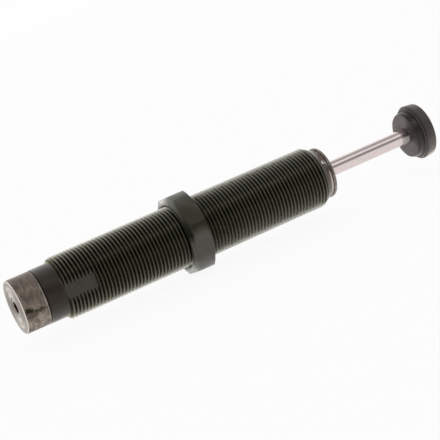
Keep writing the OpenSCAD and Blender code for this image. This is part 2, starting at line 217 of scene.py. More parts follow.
@dataclass(frozen=True)
class Grain:
    """The make-up of a noise.

    Attributes:
        octaves: Number of octaves.
        rough: Strength of the finer octaves.
        twist: Distortion.
    """

    octaves: float = 4
    rough: float = 0.55
    twist: float = 0


@dataclass(frozen=True)
class Stations:
    """Places along the axis and the rod's radius, in millimetres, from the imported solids."""

    neck: float
    nose: float
    spigot_end: float
    gland_rear: float
    front: float
    shoulder: float
    rod_rear: float
    head: float
    nut: float
    nut_end: float
    rod_r: float

    @classmethod
    def read(cls) -> Stations:
        """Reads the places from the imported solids.

        Returns:
            The places.
        """

        def ends(node: str) -> tuple[float, float]:
            """Gives a solid's ends along the axis."""
            low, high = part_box(node)
            return low.x / MM, high.x / MM

        neck, nose = ends("outer_body")
        gland_rear, front = ends("front_gland")
        nut, nut_end = ends("lock_nut")
        return cls(
            neck, nose, ends("rear_plug")[1], gland_rear, front,
            ends("piston")[1] - SHOULDER_SEAT, ends("piston_rod")[0], ends("rod_button")[0],
            nut, nut_end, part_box("piston_rod")[1].z / MM,
        )


def outline(*points: tuple[float, float]) -> list[Ring]:
    """Makes the rings of a turned outline.

    Args:
        points: Pairs of place along the axis and radius, in millimetres.

    Returns:
        The rings in the same order.
    """
    return [Ring(x, r) for x, r in points]


def rounded(x: float, r: float, radius: float, steps: int) -> list[tuple[float, float]]:
    """Rounds a front outer edge.

    Args:
        x: Place of the front face, in millimetres.
        r: Radius of the wall, in millimetres.
        radius: Radius of the rounding, in millimetres.
        steps: Number of short chamfers that make the rounding.

    Returns:
        Points from the wall to the face.
    """
    points = []
    for i in range(steps + 1):
        a = math.pi / 2 * i / steps
        points.append((x - radius * (1 - math.sin(a)), r - radius * (1 - math.cos(a))))
    return points


class Bench:
    """Shaping operations on one mesh at a time."""

    SAME_PLACE = 0.0005  # vertices closer than this are one, in millimetres
    SAME_PLACE_WOUND = 0.002  # the same on a wound piece

    def clear(self) -> None:
        """Deselects everything, in object mode."""
        if bpy.context.object and bpy.context.object.mode != "OBJECT":
            bpy.ops.object.mode_set(mode="OBJECT")
        bpy.ops.object.select_all(action="DESELECT")

    def hold(self, piece: Thing) -> None:
        """Makes one piece the only selected and the active one.

        Args:
            piece: The piece.
        """
        self.clear()
        piece.select_set(True)
        bpy.context.view_layer.objects.active = piece

    def open_up(self) -> None:
        """Opens the active mesh for editing, with all of it selected."""
        bpy.ops.object.mode_set(mode="EDIT")
        bpy.ops.mesh.select_all(action="SELECT")

    def take(self, name: str) -> Thing:
        """Names the primitive just added and brings its object to the origin.

        Args:
            name: Name for the object and its mesh.

        Returns:
            The primitive's object.
        """
        piece = bpy.context.object
        piece.name = piece.data.name = name
        bpy.ops.object.transform_apply(location=True, rotation=True, scale=True)
        return piece

    def turn(
        self, name: str, rings: Sequence[Ring], sides: int = 192, hollow: bool = False
    ) -> Thing:
        """Turns a closed solid about the X axis, ring by ring.

        Args:
            name: Name for the piece.
            rings: The outline, in millimetres.
            sides: Number of sides round the axis.
            hollow: True if the outline closes on itself round a bore.

        Returns:
            The turned piece.
        """
        self.clear()
        at = rings[0]
        bpy.ops.mesh.primitive_circle_add(
            vertices=sides,
            radius=at.r * MM,
            location=(at.x * MM, 0, 0),
            rotation=(0, math.pi / 2, 0),
        )
        piece = self.take(name)
        self.open_up()
        for to in [*rings[1:], *([rings[0]] if hollow else [])]:
            bpy.ops.mesh.extrude_region_move(
                TRANSFORM_OT_translate={"value": ((to.x - at.x) * MM, 0, 0)}
            )
            growth = to.r / at.r
            bpy.ops.transform.resize(
                value=(1, growth, growth), center_override=(to.x * MM, 0, 0)
            )
            at = to
        if not hollow:
            bpy.ops.mesh.edge_face_add()
            bpy.ops.mesh.select_all(action="DESELECT")
            bpy.ops.mesh.select_non_manifold()
            bpy.ops.mesh.edge_face_add()
        self.close_up()
        return piece

    def close_up(self) -> None:
        """Merges doubled vertices of the mesh in edit mode and turns its faces outwards."""
        bpy.ops.mesh.select_all(action="SELECT")
        bpy.ops.mesh.remove_doubles(threshold=self.SAME_PLACE * MM)
        bpy.ops.mesh.normals_make_consistent(inside=False)
        bpy.ops.object.mode_set(mode="OBJECT")

    def wind(
        self, piece: Thing, start: float, pitch: float, turns: int, steps: int
    ) -> None:
        """Winds a piece's edges along the axis, and closes both ends.

        Args:
            piece: The piece, which holds only the profile's edges.
            start: Where the profile starts along the axis, in millimetres.
            pitch: Rise of each turn, in millimetres.
            turns: Number of turns.
            steps: Segments of each turn.
        """
        wind = piece.modifiers.new("wind", "SCREW")
        wind.axis = "X"
        wind.angle = 2 * math.pi
        wind.screw_offset = pitch * MM
        wind.iterations = turns
        wind.steps = wind.render_steps = steps
        bpy.ops.object.modifier_apply(modifier=wind.name)
        self.open_up()
        bpy.ops.mesh.remove_doubles(threshold=self.SAME_PLACE_WOUND * MM)
        middle = (start + turns * pitch / 2) * MM
        for side in (-1, 1):
            bpy.ops.mesh.select_all(action="DESELECT")
            bpy.ops.mesh.select_non_manifold()
            bpy.ops.object.mode_set(mode="OBJECT")
            for edge in piece.data.edges:
                first = piece.data.vertices[edge.vertices[0]]
                edge.select = edge.select and (first.co.x - middle) * side > 0
            for vertex in piece.data.vertices:
                vertex.select = vertex.select and (vertex.co.x - middle) * side > 0
            bpy.ops.object.mode_set(mode="EDIT")
            bpy.ops.mesh.edge_face_add()
        self.close_up()

    def combine(self, piece: Thing, tool: Thing, cut: Cut) -> None:
        """Cuts a piece with a tool, which is used up.

        Args:
            piece: The piece to change.
            tool: A closed mesh.
            cut: What to do with the space of the tool.
        """
        self.hold(piece)
        modifier = piece.modifiers.new("cut", "BOOLEAN")
        modifier.operation = cut.value
        modifier.object = tool
        modifier.solver = "MANIFOLD"
        bpy.ops.object.modifier_apply(modifier=modifier.name)
        bpy.data.objects.remove(tool, do_unlink=True)

    def ease(
        self, piece: Thing, width: float, angle: float = 40, segments: int = 2
    ) -> None:
        """Rounds the edges of a piece.

        Args:
            piece: The piece to change.
            width: Width of the rounding, in millimetres.
            angle: Edges under this angle stay, in degrees.
            segments: Faces across the rounding.
        """
        self.hold(piece)
        modifier = piece.modifiers.new("ease", "BEVEL")
        modifier.width = width * MM
        modifier.segments = segments
        modifier.limit_method = "ANGLE"
        modifier.angle_limit = math.radians(angle)
        modifier.use_clamp_overlap = True
        bpy.ops.object.modifier_apply(modifier=modifier.name)

    def smooth(self, piece: Thing, angle: float = 35) -> None:
        """Shades a piece smooth, apart from edges over an angle in degrees.

        Args:
            piece: The piece.
            angle: Edges over this angle stay sharp, in degrees.
        """
        self.hold(piece)
        bpy.ops.object.shade_smooth_by_angle(angle=math.radians(angle))
        self.clear()


# --------------------------------------------------------------------------- finishes

# share of the painted sheen, from facing the viewer (0) to the silhouette (1)
SHEEN_RAMP = (
    (0.1, 0.0), (0.18, 0.011), (0.26, 0.027), (0.36, 0.044), (0.52, 0.075), (0.64, 0.14),
    (0.72, 0.24), (0.82, 0.38), (1.0, 0.5),
)
EVEN_WEIGHT = 0.5  # Layer Weight's plain, linear setting
FINE_RATIO = 9  # specks along the width of a blotch
SPECK_TONE = Fade(0, 1, 0.92, 1.08)
RELIEF_DEPTH = 0.02 * MM


class Sheet:
    """A node tree under construction, with short calls for its nodes."""

    def __init__(self, tree: Tree) -> None:
        """Starts on an existing tree."""
        self.tree = tree

    def add(self, kind: str, **settings: object) -> Node:
        """Adds a node and sets its properties.

        Args:
            kind: The node's type name.
            settings: Properties of the node.

        Returns:
            The new node.
        """
        node = self.tree.nodes.new(kind)
        for key, value in settings.items():
            setattr(node, key, value)
        return node

    def join(self, source: Socket, target: Socket) -> None:
        """Links an output to an input."""
        self.tree.links.new(source, target)

    def feed(self, value: object, target: Socket) -> None:
        """Links a socket to an input, or writes a plain value on it.

        Args:
            value: A socket, or what to write.
            target: The input.
        """
        if isinstance(value, Socket):
            self.join(value, target)
        else:
            target.default_value = value

    def math(self, how: str, *values: object) -> Socket:
        """Adds a Math node.

        Args:
            how: The operation.
            values: Up to three sockets or numbers.

        Returns:
            The result.
        """
        node = self.add("ShaderNodeMath", operation=how)
        for value, target in zip(values, node.inputs):
            self.feed(value, target)
        return node.outputs[0]

    def both(self, a: object, b: object) -> Socket:
        """Gives the product of two masks or values."""
        return self.math("MULTIPLY", a, b)

    def rest(self, mask: object) -> Socket:
        """Gives what a mask leaves over."""
        return self.math("SUBTRACT", 1.0, mask)

    def fade(self, value: object, fade: Fade, unit: float = 1.0) -> Socket:
        """Maps a value along a fade, and holds it at the fade's ends.

        Args:
            value: A mask, a direction or another plain value.
            fade: The fade.
            unit: Size of the unit of the fade's ends.

        Returns:
            The fade's value there.
        """
        node = self.add("ShaderNodeMapRange", interpolation_type="SMOOTHSTEP")
        ends = (fade.start * unit, fade.end * unit, fade.before, fade.after)
        for item, target in zip((value, *ends), node.inputs):
            self.feed(item, target)
        return node.outputs["Result"]

    def reach(self, length: object, fade: Fade, origin: float = 0.0) -> Socket:
        """Maps a length along a fade that is given in millimetres.

        Args:
            length: The length, in metres.
            fade: The fade, in millimetres from the origin.
            origin: Where the fade counts from, in millimetres.

        Returns:
            The fade's value there.
        """
        return self.fade(length, fade.moved(origin), MM)

    def near(self, length: object, band: Band, origin: float = 0.0) -> Socket:
        """Masks a narrow band.

        Args:
            length: The length, in metres.
            band: The band, in millimetres from the origin.
            origin: Where the band counts from, in millimetres.

        Returns:
            1 within the band and 0 outside it.
        """
        off = self.math("ABSOLUTE", self.math("SUBTRACT", length, (origin + band.centre) * MM))
        return self.reach(off, Fade(band.half, band.half + band.soft, 1, 0))

    def spot(self, spot: Spot) -> Socket:
        """Masks a ragged spot.

        Args:
            spot: The spot.

        Returns:
            1 in the middle of the spot and 0 well outside it.
        """
        move = self.add("ShaderNodeMapping")
        self.join(self.place(), move.inputs["Vector"])
        pairs = list(zip(spot.centre, spot.reach))
        move.inputs["Location"].default_value = [-centre / half for centre, half in pairs]
        move.inputs["Scale"].default_value = [1 / (half * MM) for _, half in pairs]
        size = self.add("ShaderNodeVectorMath", operation="LENGTH")
        self.join(move.outputs["Vector"], size.inputs[0])
        noise = self.noise(self.place(), spot.scale)
        wander = self.math("MULTIPLY_ADD", noise, 2 * spot.ragged, -spot.ragged)
        return self.fade(self.math("ADD", size.outputs["Value"], wander), spot.border())

    def blend(self, factor: object, a: object, b: object, how: str = "MIX") -> Socket:
        """Mixes two colours.

        Args:
            factor: Share of the second colour.
            a: First colour, a socket or three numbers.
            b: Second colour, a socket or three numbers.
            how: Blend type.

        Returns:
            The mixed colour.
        """
        node = self.add("ShaderNodeMix", data_type="RGBA", blend_type=how)
        self.feed(factor, node.inputs["Factor"])
        for item, target in ((a, node.inputs[6]), (b, node.inputs[7])):
            self.feed((*item, 1.0) if isinstance(item, tuple) else item, target)
        return node.outputs[2]

    def noise(
        self, where: object, scale: object, grain: Grain = Grain()
    ) -> Socket:
        """Adds a noise texture.

        Args:
            where: The coordinate socket.
            scale: Scale of the noise, per metre, a socket or a number.
            grain: Its make-up.

        Returns:
            The noise value.
        """
        node = self.add("ShaderNodeTexNoise")
        values = (
            ("Vector", where), ("Scale", scale), ("Detail", grain.octaves),
            ("Roughness", grain.rough), ("Distortion", grain.twist),
        )
        for key, value in values:
            self.feed(value, node.inputs[key])
        return node.outputs["Fac"]

    def stretch(self, where: object, scale: Point) -> Socket:
        """Scales a coordinate along each axis.

        Args:
            where: The coordinate socket.
            scale: Scale along each axis.

        Returns:
            The scaled coordinate.
        """
        node = self.add("ShaderNodeMapping")
        self.feed(where, node.inputs["Vector"])
        node.inputs["Scale"].default_value = scale
        return node.outputs["Vector"]

    def place(self) -> Socket:
        """Gives the piece's own coordinates, in metres."""
        return self.add("ShaderNodeTexCoord").outputs["Object"]

    def round_axis(self) -> tuple[Socket, ...]:
        """Gives the place along the axis, across it and above it, and the distance from it.

        Returns:
            Those four sockets.
        """
        split = self.add("ShaderNodeSeparateXYZ")
        self.join(self.place(), split.inputs[0])
        along, across, above = split.outputs
        squares = self.math("ADD", self.both(across, across), self.both(above, above))
        return along, across, above, self.math("SQRT", squares)

    def facing(self) -> Node:
        """Adds the node that tells how far the surface turns away from the viewer.

        Returns:
            The node.
        """
        weight = self.add("ShaderNodeLayerWeight")
        weight.inputs["Blend"].default_value = EVEN_WEIGHT
        return weight

    def bump(self, height: object, strength: float, distance: float) -> Socket:
        """Adds a bump and gives its normal.

        Args:
            height: Height of the relief.
            strength: Strength of the bump.
            distance: Depth of the relief, in metres.

        Returns:
            The bumped normal.
        """
        node = self.add("ShaderNodeBump")
        node.inputs["Strength"].default_value = strength
        node.inputs["Distance"].default_value = distance
        self.feed(height, node.inputs["Height"])
        return node.outputs["Normal"]


class Groups:
    """Node groups that several finishes share, each built once."""

    BLOTCHES = Fade(0.38, 0.64)
    SPECKS = Fade(0.3, 0.7)
    CLOUD_GRAIN = Grain(5, 0.5, 0.6)
    SMEARS = Fade(0.34, 0.66)
    SMEAR_GRAIN = Grain(6, 0.62, 0.35)
    SMEAR_SQUEEZE = {"Broad": 2.2, "Thin": 6.0}
    TOOL_GRAIN = Grain(3, 0.5)

    def __init__(self) -> None:
        """Starts with no group built."""
        self.built: dict[str, Tree] = {}

    def make(
        self,
        name: str,
        inputs: dict[str, float],
        outputs: Sequence[str],
        draw: Callable[[Sheet, Sockets], Sockets],
    ) -> Tree:
        """Builds a group once.

        Args:
            name: Name of the group.
            inputs: Number inputs and their defaults.
            outputs: Names of the value outputs.
            draw: Fills the group and gives a socket for each output.

        Returns:
            The group.
        """
        if name not in self.built:
            tree = bpy.data.node_groups.new(name, "ShaderNodeTree")
            for key, value in inputs.items():
                tree.interface.new_socket(
                    key, in_out="INPUT", socket_type="NodeSocketFloat"
                ).default_value = value
            for key in outputs:
                tree.interface.new_socket(key, in_out="OUTPUT", socket_type="NodeSocketFloat")
            sheet = Sheet(tree)
            start, end = sheet.add("NodeGroupInput"), sheet.add("NodeGroupOutput")
            for key, value in draw(sheet, {k: start.outputs[k] for k in inputs}).items():
                sheet.join(value, end.inputs[key])
            self.built[name] = tree
        return self.built[name]

    def use(self, sheet: Sheet, tree: Tree, **values: float) -> Node:
        """Places a group in a material with its own values.

        Args:
            sheet: The material's sheet.
            tree: The group.
            values: Values of its inputs.

        Returns:
            The group's node.
        """
        node = sheet.add("ShaderNodeGroup", node_tree=tree)
        for key, value in values.items():
            node.inputs[key].default_value = value
        return node

    def axis_place(self) -> Tree:
        """Distance from the axis, place along it and direction seen from it, in metres.

        Returns:
            The group.
        """

        def draw(s: Sheet, _: Sockets) -> Sockets:
            """Draws the group.

            Args:
                s: The group's sheet.
                _: The group's inputs, of which it has none.

            Returns:
                A socket for each output.
            """
            along, across, above, radius = s.round_axis()
            return {
                "Radius": radius, "Side": s.math("ABSOLUTE", across), "Along": along,
                "Up": s.math("DIVIDE", above, radius), "Away": s.math("DIVIDE", across, radius),
            }

        return self.make("axis_place", {}, ("Radius", "Side", "Along", "Up", "Away"), draw)

    def clouds(self) -> Tree:
        """Soft blotches and fine specks, for stains and uneven plating.

        Returns:
            The group.
        """

        def draw(s: Sheet, scales: Sockets) -> Sockets:
            """Draws the group.

            Args:
                s: The group's sheet.
                scales: The group's inputs.

            Returns:
                A socket for each output.
            """
            coarse = s.noise(s.place(), scales["Coarse"], self.CLOUD_GRAIN)
            fine = s.noise(s.place(), scales["Fine"], self.CLOUD_GRAIN)
            return {"Blotches": s.fade(coarse, self.BLOTCHES), "Specks": s.fade(fine, self.SPECKS)}

        return self.make("clouds", {"Coarse": 250.0, "Fine": 2500.0}, ("Blotches", "Specks"), draw)

    def smears(self) -> Tree:
        """Smears that run round the axis, as a rag or a lathe leaves them.

        Returns:
            The group.
        """

        def draw(s: Sheet, scales: Sockets) -> Sockets:
            """Draws the group.

            Args:
                s: The group's sheet.
                scales: The group's inputs.

            Returns:
                A socket for each output.
            """
            found = {}
            for key, squeeze in self.SMEAR_SQUEEZE.items():
                where = s.stretch(s.place(), (squeeze, 1.0, 1.0))
                noise = s.noise(where, scales[key + " scale"], self.SMEAR_GRAIN)
                found[key] = s.fade(noise, self.SMEARS)
            return found

        return self.make(
            "smears", {"Broad scale": 260.0, "Thin scale": 700.0}, ("Broad", "Thin"), draw
        )

    def turning(self) -> Tree:
        """Fine tool marks: rings on a face and rings along a wall.

        Returns:
            The group.
        """

        def draw(s: Sheet, scales: Sockets) -> Sockets:
            """Draws the group.

            Args:
                s: The group's sheet.
                scales: The group's inputs.

            Returns:
                A socket for each output.
            """
            along, _, _, radius = s.round_axis()
            row = s.add("ShaderNodeCombineXYZ")
            s.join(along, row.inputs[0])
            s.join(radius, row.inputs[1])
            return {"Marks": s.noise(row.outputs[0], scales["Lines"], self.TOOL_GRAIN)}

        return self.make("turning", {"Lines": 9000.0}, ("Marks",), draw)


class Canvas(Sheet):
    """A material's sheet, which knows where on the piece it is."""

    def __init__(self, tree: Tree, groups: Groups) -> None:
        """Starts on a material's tree, with the shared node groups."""
        super().__init__(tree)
        self.groups = groups

    @cached_property
    def at(self) -> Sockets:
        """Distance from the axis, place along it and direction seen from it, by name."""
        return self.groups.use(self, self.groups.axis_place()).outputs


@dataclass
class Coat:
    """What a finish feeds to its shader while it is being built.

    Attributes:
        colour: Colour socket.
        rough: Roughness socket.
        metallic: Metallic, a socket or a number.
        height: Height of the fine relief.
        painted_sheen: Share of the painted sheen that this place takes, a socket or a number.
    """

    colour: Socket
    rough: Socket
    metallic: object
    height: Socket
    painted_sheen: object = 1.0

    def cover(self, sheet: Sheet, mask: object, colour: object) -> None:
        """Lays a colour over the coat, as far as a mask says."""
        self.colour = sheet.blend(mask, self.colour, colour)


@dataclass(frozen=True)
class Finish:
    """A surface finish of metal, rubber or plastic.

    In every finish, colours are linear. A fade of a place, a reach or a radius is in
    millimetres, a fade whose name ends in up goes by the direction seen from the axis,
    from -1 below it to 1 above it, and the others go by a mask.

    Attributes:
        name: Name of the material.
        colour: Main colour.
        shade: Colour of blotches and stains.
        metallic: 1 for bare metal, 0 for a blackened or painted coat.
        rough: Roughness in the clean parts.
        rough_rise: How much the roughness rises in blotches.
        blotch: Share of the stain colour, from 0 to 1.
        marks: Strength of the tool marks.
        lines: Tool marks, per metre.
        coarse: Scale of the blotches, per metre.
        specular: Specular level of the coat.
        painted_sheen_level: Strength of the painted sheen, a paler colour that shows towards the
            silhouette.
        sheen_colour: Colour of that painted sheen.
        tint: Tint of the reflections.
    """

    name: str
    colour: Colour
    shade: Colour
    metallic: float = 0.0
    rough: float = 0.35
    rough_rise: float = 0.1
    blotch: float = 0.5
    marks: float = 0.1
    lines: float = 9000.0
    coarse: float = 250.0
    specular: float = 0.5
    painted_sheen_level: float = 0.0
    sheen_colour: Colour = (1.0, 0.985, 0.93)
    tint: Colour = (1.0, 1.0, 1.0)

    def build(self, groups: Groups) -> Material:
        """Builds the material.

        Args:
            groups: The shared node groups.

        Returns:
            The material.
        """
        material = bpy.data.materials.new(self.name)
        material.use_nodes = True
        sheet = Canvas(material.node_tree, groups)
        inputs = material.node_tree.nodes["Principled BSDF"].inputs
        clouds = groups.use(
            sheet, groups.clouds(), Coarse=self.coarse, Fine=self.coarse * FINE_RATIO
        ).outputs
        marks = groups.use(sheet, groups.turning(), Lines=self.lines).outputs["Marks"]
        roughness = Fade(0, 1, self.rough, self.rough + self.rough_rise)
        coat = Coat(
            sheet.blend(sheet.both(clouds["Blotches"], self.blotch), self.colour, self.shade),
            sheet.fade(clouds["Blotches"], roughness),
            self.metallic,
            sheet.math("ADD", marks, clouds["Specks"]),
        )
        self.mark(sheet, coat)
        # painted sheen: the base colour pales towards the silhouette, as far as each place's share
        # says
        if self.painted_sheen_level:
            share = sheet.both(self.painted_sheen(sheet), coat.painted_sheen)
            coat.cover(sheet, share, self.sheen_colour)
        speck = sheet.fade(clouds["Specks"], SPECK_TONE)
        grey = sheet.add("ShaderNodeCombineXYZ")
        for target in grey.inputs:
            sheet.join(speck, target)
        speckled = sheet.blend(1.0, coat.colour, grey.outputs[0], "MULTIPLY")
        sheet.join(speckled, inputs["Base Color"])
        sheet.join(coat.rough, inputs["Roughness"])
        sheet.feed(coat.metallic, inputs["Metallic"])
        inputs["Specular IOR Level"].default_value = self.specular
        inputs["Specular Tint"].default_value = (*self.tint, 1.0)
        sheet.join(sheet.bump(coat.height, self.marks, RELIEF_DEPTH), inputs["Normal"])
        return material

    def mark(self, sheet: Canvas, coat: Coat) -> None:
        """Lets a finish change its coat by place. The plain finish keeps it."""

    def painted_sheen(self, sheet: Sheet) -> Socket:
        """Gives the share of the painted sheen, which rises towards the silhouette.

        Args:
            sheet: The material's sheet.

        Returns:
            The share.
        """
        ramp = sheet.add("ShaderNodeValToRGB")
        sheet.join(self.turned_away(sheet), ramp.inputs[0])
        stops = ramp.color_ramp.elements
        ready = len(stops)
        for count, (place, share) in enumerate(SHEEN_RAMP):
            stop = stops[count] if count < ready else stops.new(place)
            stop.position, stop.color = place, (share, share, share, 1.0)
        return sheet.both(ramp.outputs[0], self.painted_sheen_level)

    def turned_away(self, sheet: Sheet) -> Socket:
        """Gives 0 where the surface faces the viewer and 1 at its silhouette."""
        return sheet.facing().outputs["Facing"]


@dataclass(frozen=True)
class RoundFinish(Finish):
    """A finish whose painted sheen takes the piece as one smooth round bar."""

    def turned_away(self, sheet: Sheet) -> Socket:
        """Takes the bar's own direction, so that crests, grooves and facets agree.

        Args:
            sheet: The material's sheet.

        Returns:
            0 where the bar faces the viewer and 1 at its silhouette.
        """
        out = sheet.add("ShaderNodeVectorMath", operation="MULTIPLY")
        sheet.join(sheet.place(), out.inputs[0])
        out.inputs[1].default_value = (0.0, 1.0, 1.0)
        turn = sheet.add(
            "ShaderNodeVectorTransform", vector_type="NORMAL",
            convert_from="OBJECT", convert_to="WORLD",
        )
        sheet.join(out.outputs[0], turn.inputs[0])
        weight = sheet.facing()
        sheet.join(turn.outputs[0], weight.inputs["Normal"])
        return weight.outputs["Facing"]


@dataclass(frozen=True)
class ThreadFinish(RoundFinish):
    """A blackened thread with worn crests and dark, oily grooves, with painted sheen, a painted
    glint and painted floor light.

    Attributes:
        gap_colour: Colour of the dirt in the gap behind the neck.
        gap: Place of that gap.
        neck_colour: Colour of the plain neck.
        neck_end: Where the neck ends and the thread starts.
        neck_dull: What the neck's roughness is above the thread's.
        flat_colour: Colour of the wrench flats.
        flat_side: Distance of the flats from the axis.
        flat_end: Where the flats end.
        groove: Colour at the bottom of the thread.
        groove_radius: How the groove goes over into the crest.
        rust: Colour of the grooves beside the wrench flats.
        rust_place: Where the rust ends.
        rust_patches: Noise values that are rusty.
        rust_scale: Scale of the rusty patches, per metre.
        dust_and_painted_underlight_colour: Colour of the front half's crests, dust that is paler on
            the underside as painted floor light.
        dust_and_painted_underlight_place: Where that colour starts.
        dust_and_painted_underlight_up: Its share from below to above.
        nose_colour: Colour of the plain front chamfer.
        nose_start: Where that chamfer starts.
        lip_reflection: Pale colour of the lip in front of it, a painted reflection of the floor.
        lip_start: Where the lip starts.
        lip_reflection_up: Share of that painted reflection, from below to above.
        glint_colour: Colour of a painted glint on the front edge.
        painted_glint: That glint's spot.
        sheen_up: Painted sheen on the crests, from below to above.
        neck_sheen: Painted sheen on the neck and on the thread.
        front_place: Where the painted sheen changes from rear to front.
        groove_kept: Share that the grooves keep free of painted sheen, at the rear and the front.
        front_sheen: Painted sheen at the rear and the front.
    """

    gap_colour: Colour = (0.013, 0.010, 0.009)
    gap: Fade = Fade(9.97, 10.25, 1, 0)
    neck_colour: Colour = (0.014, 0.0065, 0.0065)
    neck_end: Fade = Fade(16.9, 17.5)
    neck_dull: Fade = Fade(16.9, 17.2, 0.2, 0)
    flat_colour: Colour = (0.034, 0.028, 0.025)
    flat_side: Band = Band(11.3, 0.02, 0.02)
    flat_end: Fade = Fade(30.0, 30.1, 1, 0)
    groove: Colour = (0.014, 0.014, 0.007)
    groove_radius: Fade = Fade(11.78, 12.4, 1, 0)
    rust: Colour = (0.013, 0.0085, 0.006)
    rust_place: Fade = Fade(28.0, 44.0, 1, 0)
    rust_patches: Fade = Fade(0.35, 0.6)
    rust_scale: float = 160.0
    dust_and_painted_underlight_colour: Colour = (0.135, 0.127, 0.092)
    dust_and_painted_underlight_place: Fade = Fade(60.0, 110.0)
    dust_and_painted_underlight_up: Fade = Fade(-0.5, 0.1, 0.4, 0.12)
    nose_colour: Colour = (0.062, 0.042, 0.039)
    nose_start: Fade = Fade(131.7, 132.2)
    lip_reflection: Colour = (0.33, 0.29, 0.25)
    lip_start: Fade = Fade(133.4, 134.0)
    lip_reflection_up: Fade = Fade(-0.5, 0.25, 1, 0.1)
    glint_colour: Colour = (0.97, 0.96, 0.94)
    painted_glint: Spot = Spot((134.2, -8.8, 5.6), (1.05, 1.0, 0.85), 0.1, 900.0)
    sheen_up: Fade = Fade(-0.75, -0.2, 2.6, 1.6)
    neck_sheen: Fade = Fade(0, 1, 0.5, 1)
    front_place: Fade = Fade(32.0, 110.0)
    groove_kept: Fade = Fade(0, 1, 1, 0.65)
    front_sheen: Fade = Fade(0, 1, 1, 0.86)

    def mark(self, sheet: Canvas, coat: Coat) -> None:
        """Darkens the grooves, rusts them beside the flats, lays the neck bare, and paints a glint
        and sheen.

        Args:
            sheet: The material's sheet.
            coat: The coat to change.
        """
        along, up = sheet.at["Along"], sheet.at["Up"]
        threaded = sheet.reach(along, self.neck_end)
        nose = sheet.reach(along, self.nose_start)
        deep = sheet.both(
            sheet.reach(sheet.at["Radius"], self.groove_radius),
            sheet.math("SUBTRACT", threaded, nose),
        )
        flat = sheet.both(
            sheet.near(sheet.at["Side"], self.flat_side), sheet.reach(along, self.flat_end)
        )
        gap = sheet.reach(along, self.gap)
        # painted glint: a white, metallic spot on the front edge stands in for a lamp's highlight
        painted_glint = sheet.spot(self.painted_glint)
        coat.colour = self.paint(sheet, coat.colour, (threaded, nose, deep))
        coat.cover(sheet, painted_glint, self.glint_colour)
        coat.cover(sheet, flat, self.flat_colour)
        coat.cover(sheet, gap, self.gap_colour)
        coat.metallic = sheet.math(
            "MAXIMUM",
            sheet.math("MAXIMUM", painted_glint, gap),
            sheet.both(deep, sheet.rest(flat)),
        )
        coat.rough = sheet.math("ADD", coat.rough, sheet.reach(along, self.neck_dull))
        # painted sheen: strongest on the crests' underside, weaker on the neck, kept off the
        # grooves
        ahead = sheet.reach(along, self.front_place)
        kept = sheet.both(deep, sheet.fade(ahead, self.groove_kept))
        painted_sheen = sheet.both(sheet.fade(up, self.sheen_up), sheet.fade(threaded, self.neck_sheen))
        painted_sheen = sheet.both(painted_sheen, sheet.rest(kept))
        coat.painted_sheen = sheet.both(painted_sheen, sheet.fade(ahead, self.front_sheen))

    def paint(self, sheet: Canvas, plain: Socket, masks: tuple[Socket, ...]) -> Socket:
        """Colours the crests, the grooves, the neck and the front chamfer, with painted floor light
        on the lip and the front crests' underside.

        Args:
            sheet: The material's sheet.
            plain: The coat's plain colour.
            masks: Masks of the thread with all in front of it, the nose and the grooves.

        Returns:
            The colour.
        """
        along, up = sheet.at["Along"], sheet.at["Up"]
        threaded, nose, deep = masks
        # front crests: dust, paler still on the underside as painted floor light
        dust_and_painted_underlight = sheet.both(sheet.reach(along, self.dust_and_painted_underlight_place), sheet.fade(up, self.dust_and_painted_underlight_up))
        crest = sheet.blend(dust_and_painted_underlight, plain, self.dust_and_painted_underlight_colour)
        crest = sheet.blend(threaded, self.neck_colour, crest)
        crest = sheet.blend(nose, crest, self.nose_colour)
        # painted reflection of the floor: the lip's underside is pale
        lip = sheet.both(sheet.reach(along, self.lip_start), sheet.fade(up, self.lip_reflection_up))
        crest = sheet.blend(lip, crest, self.lip_reflection)
        patch = sheet.fade(sheet.noise(sheet.place(), self.rust_scale), self.rust_patches)
        rusty = sheet.both(sheet.reach(along, self.rust_place), patch)
        return sheet.blend(deep, crest, sheet.blend(rusty, self.groove, self.rust))


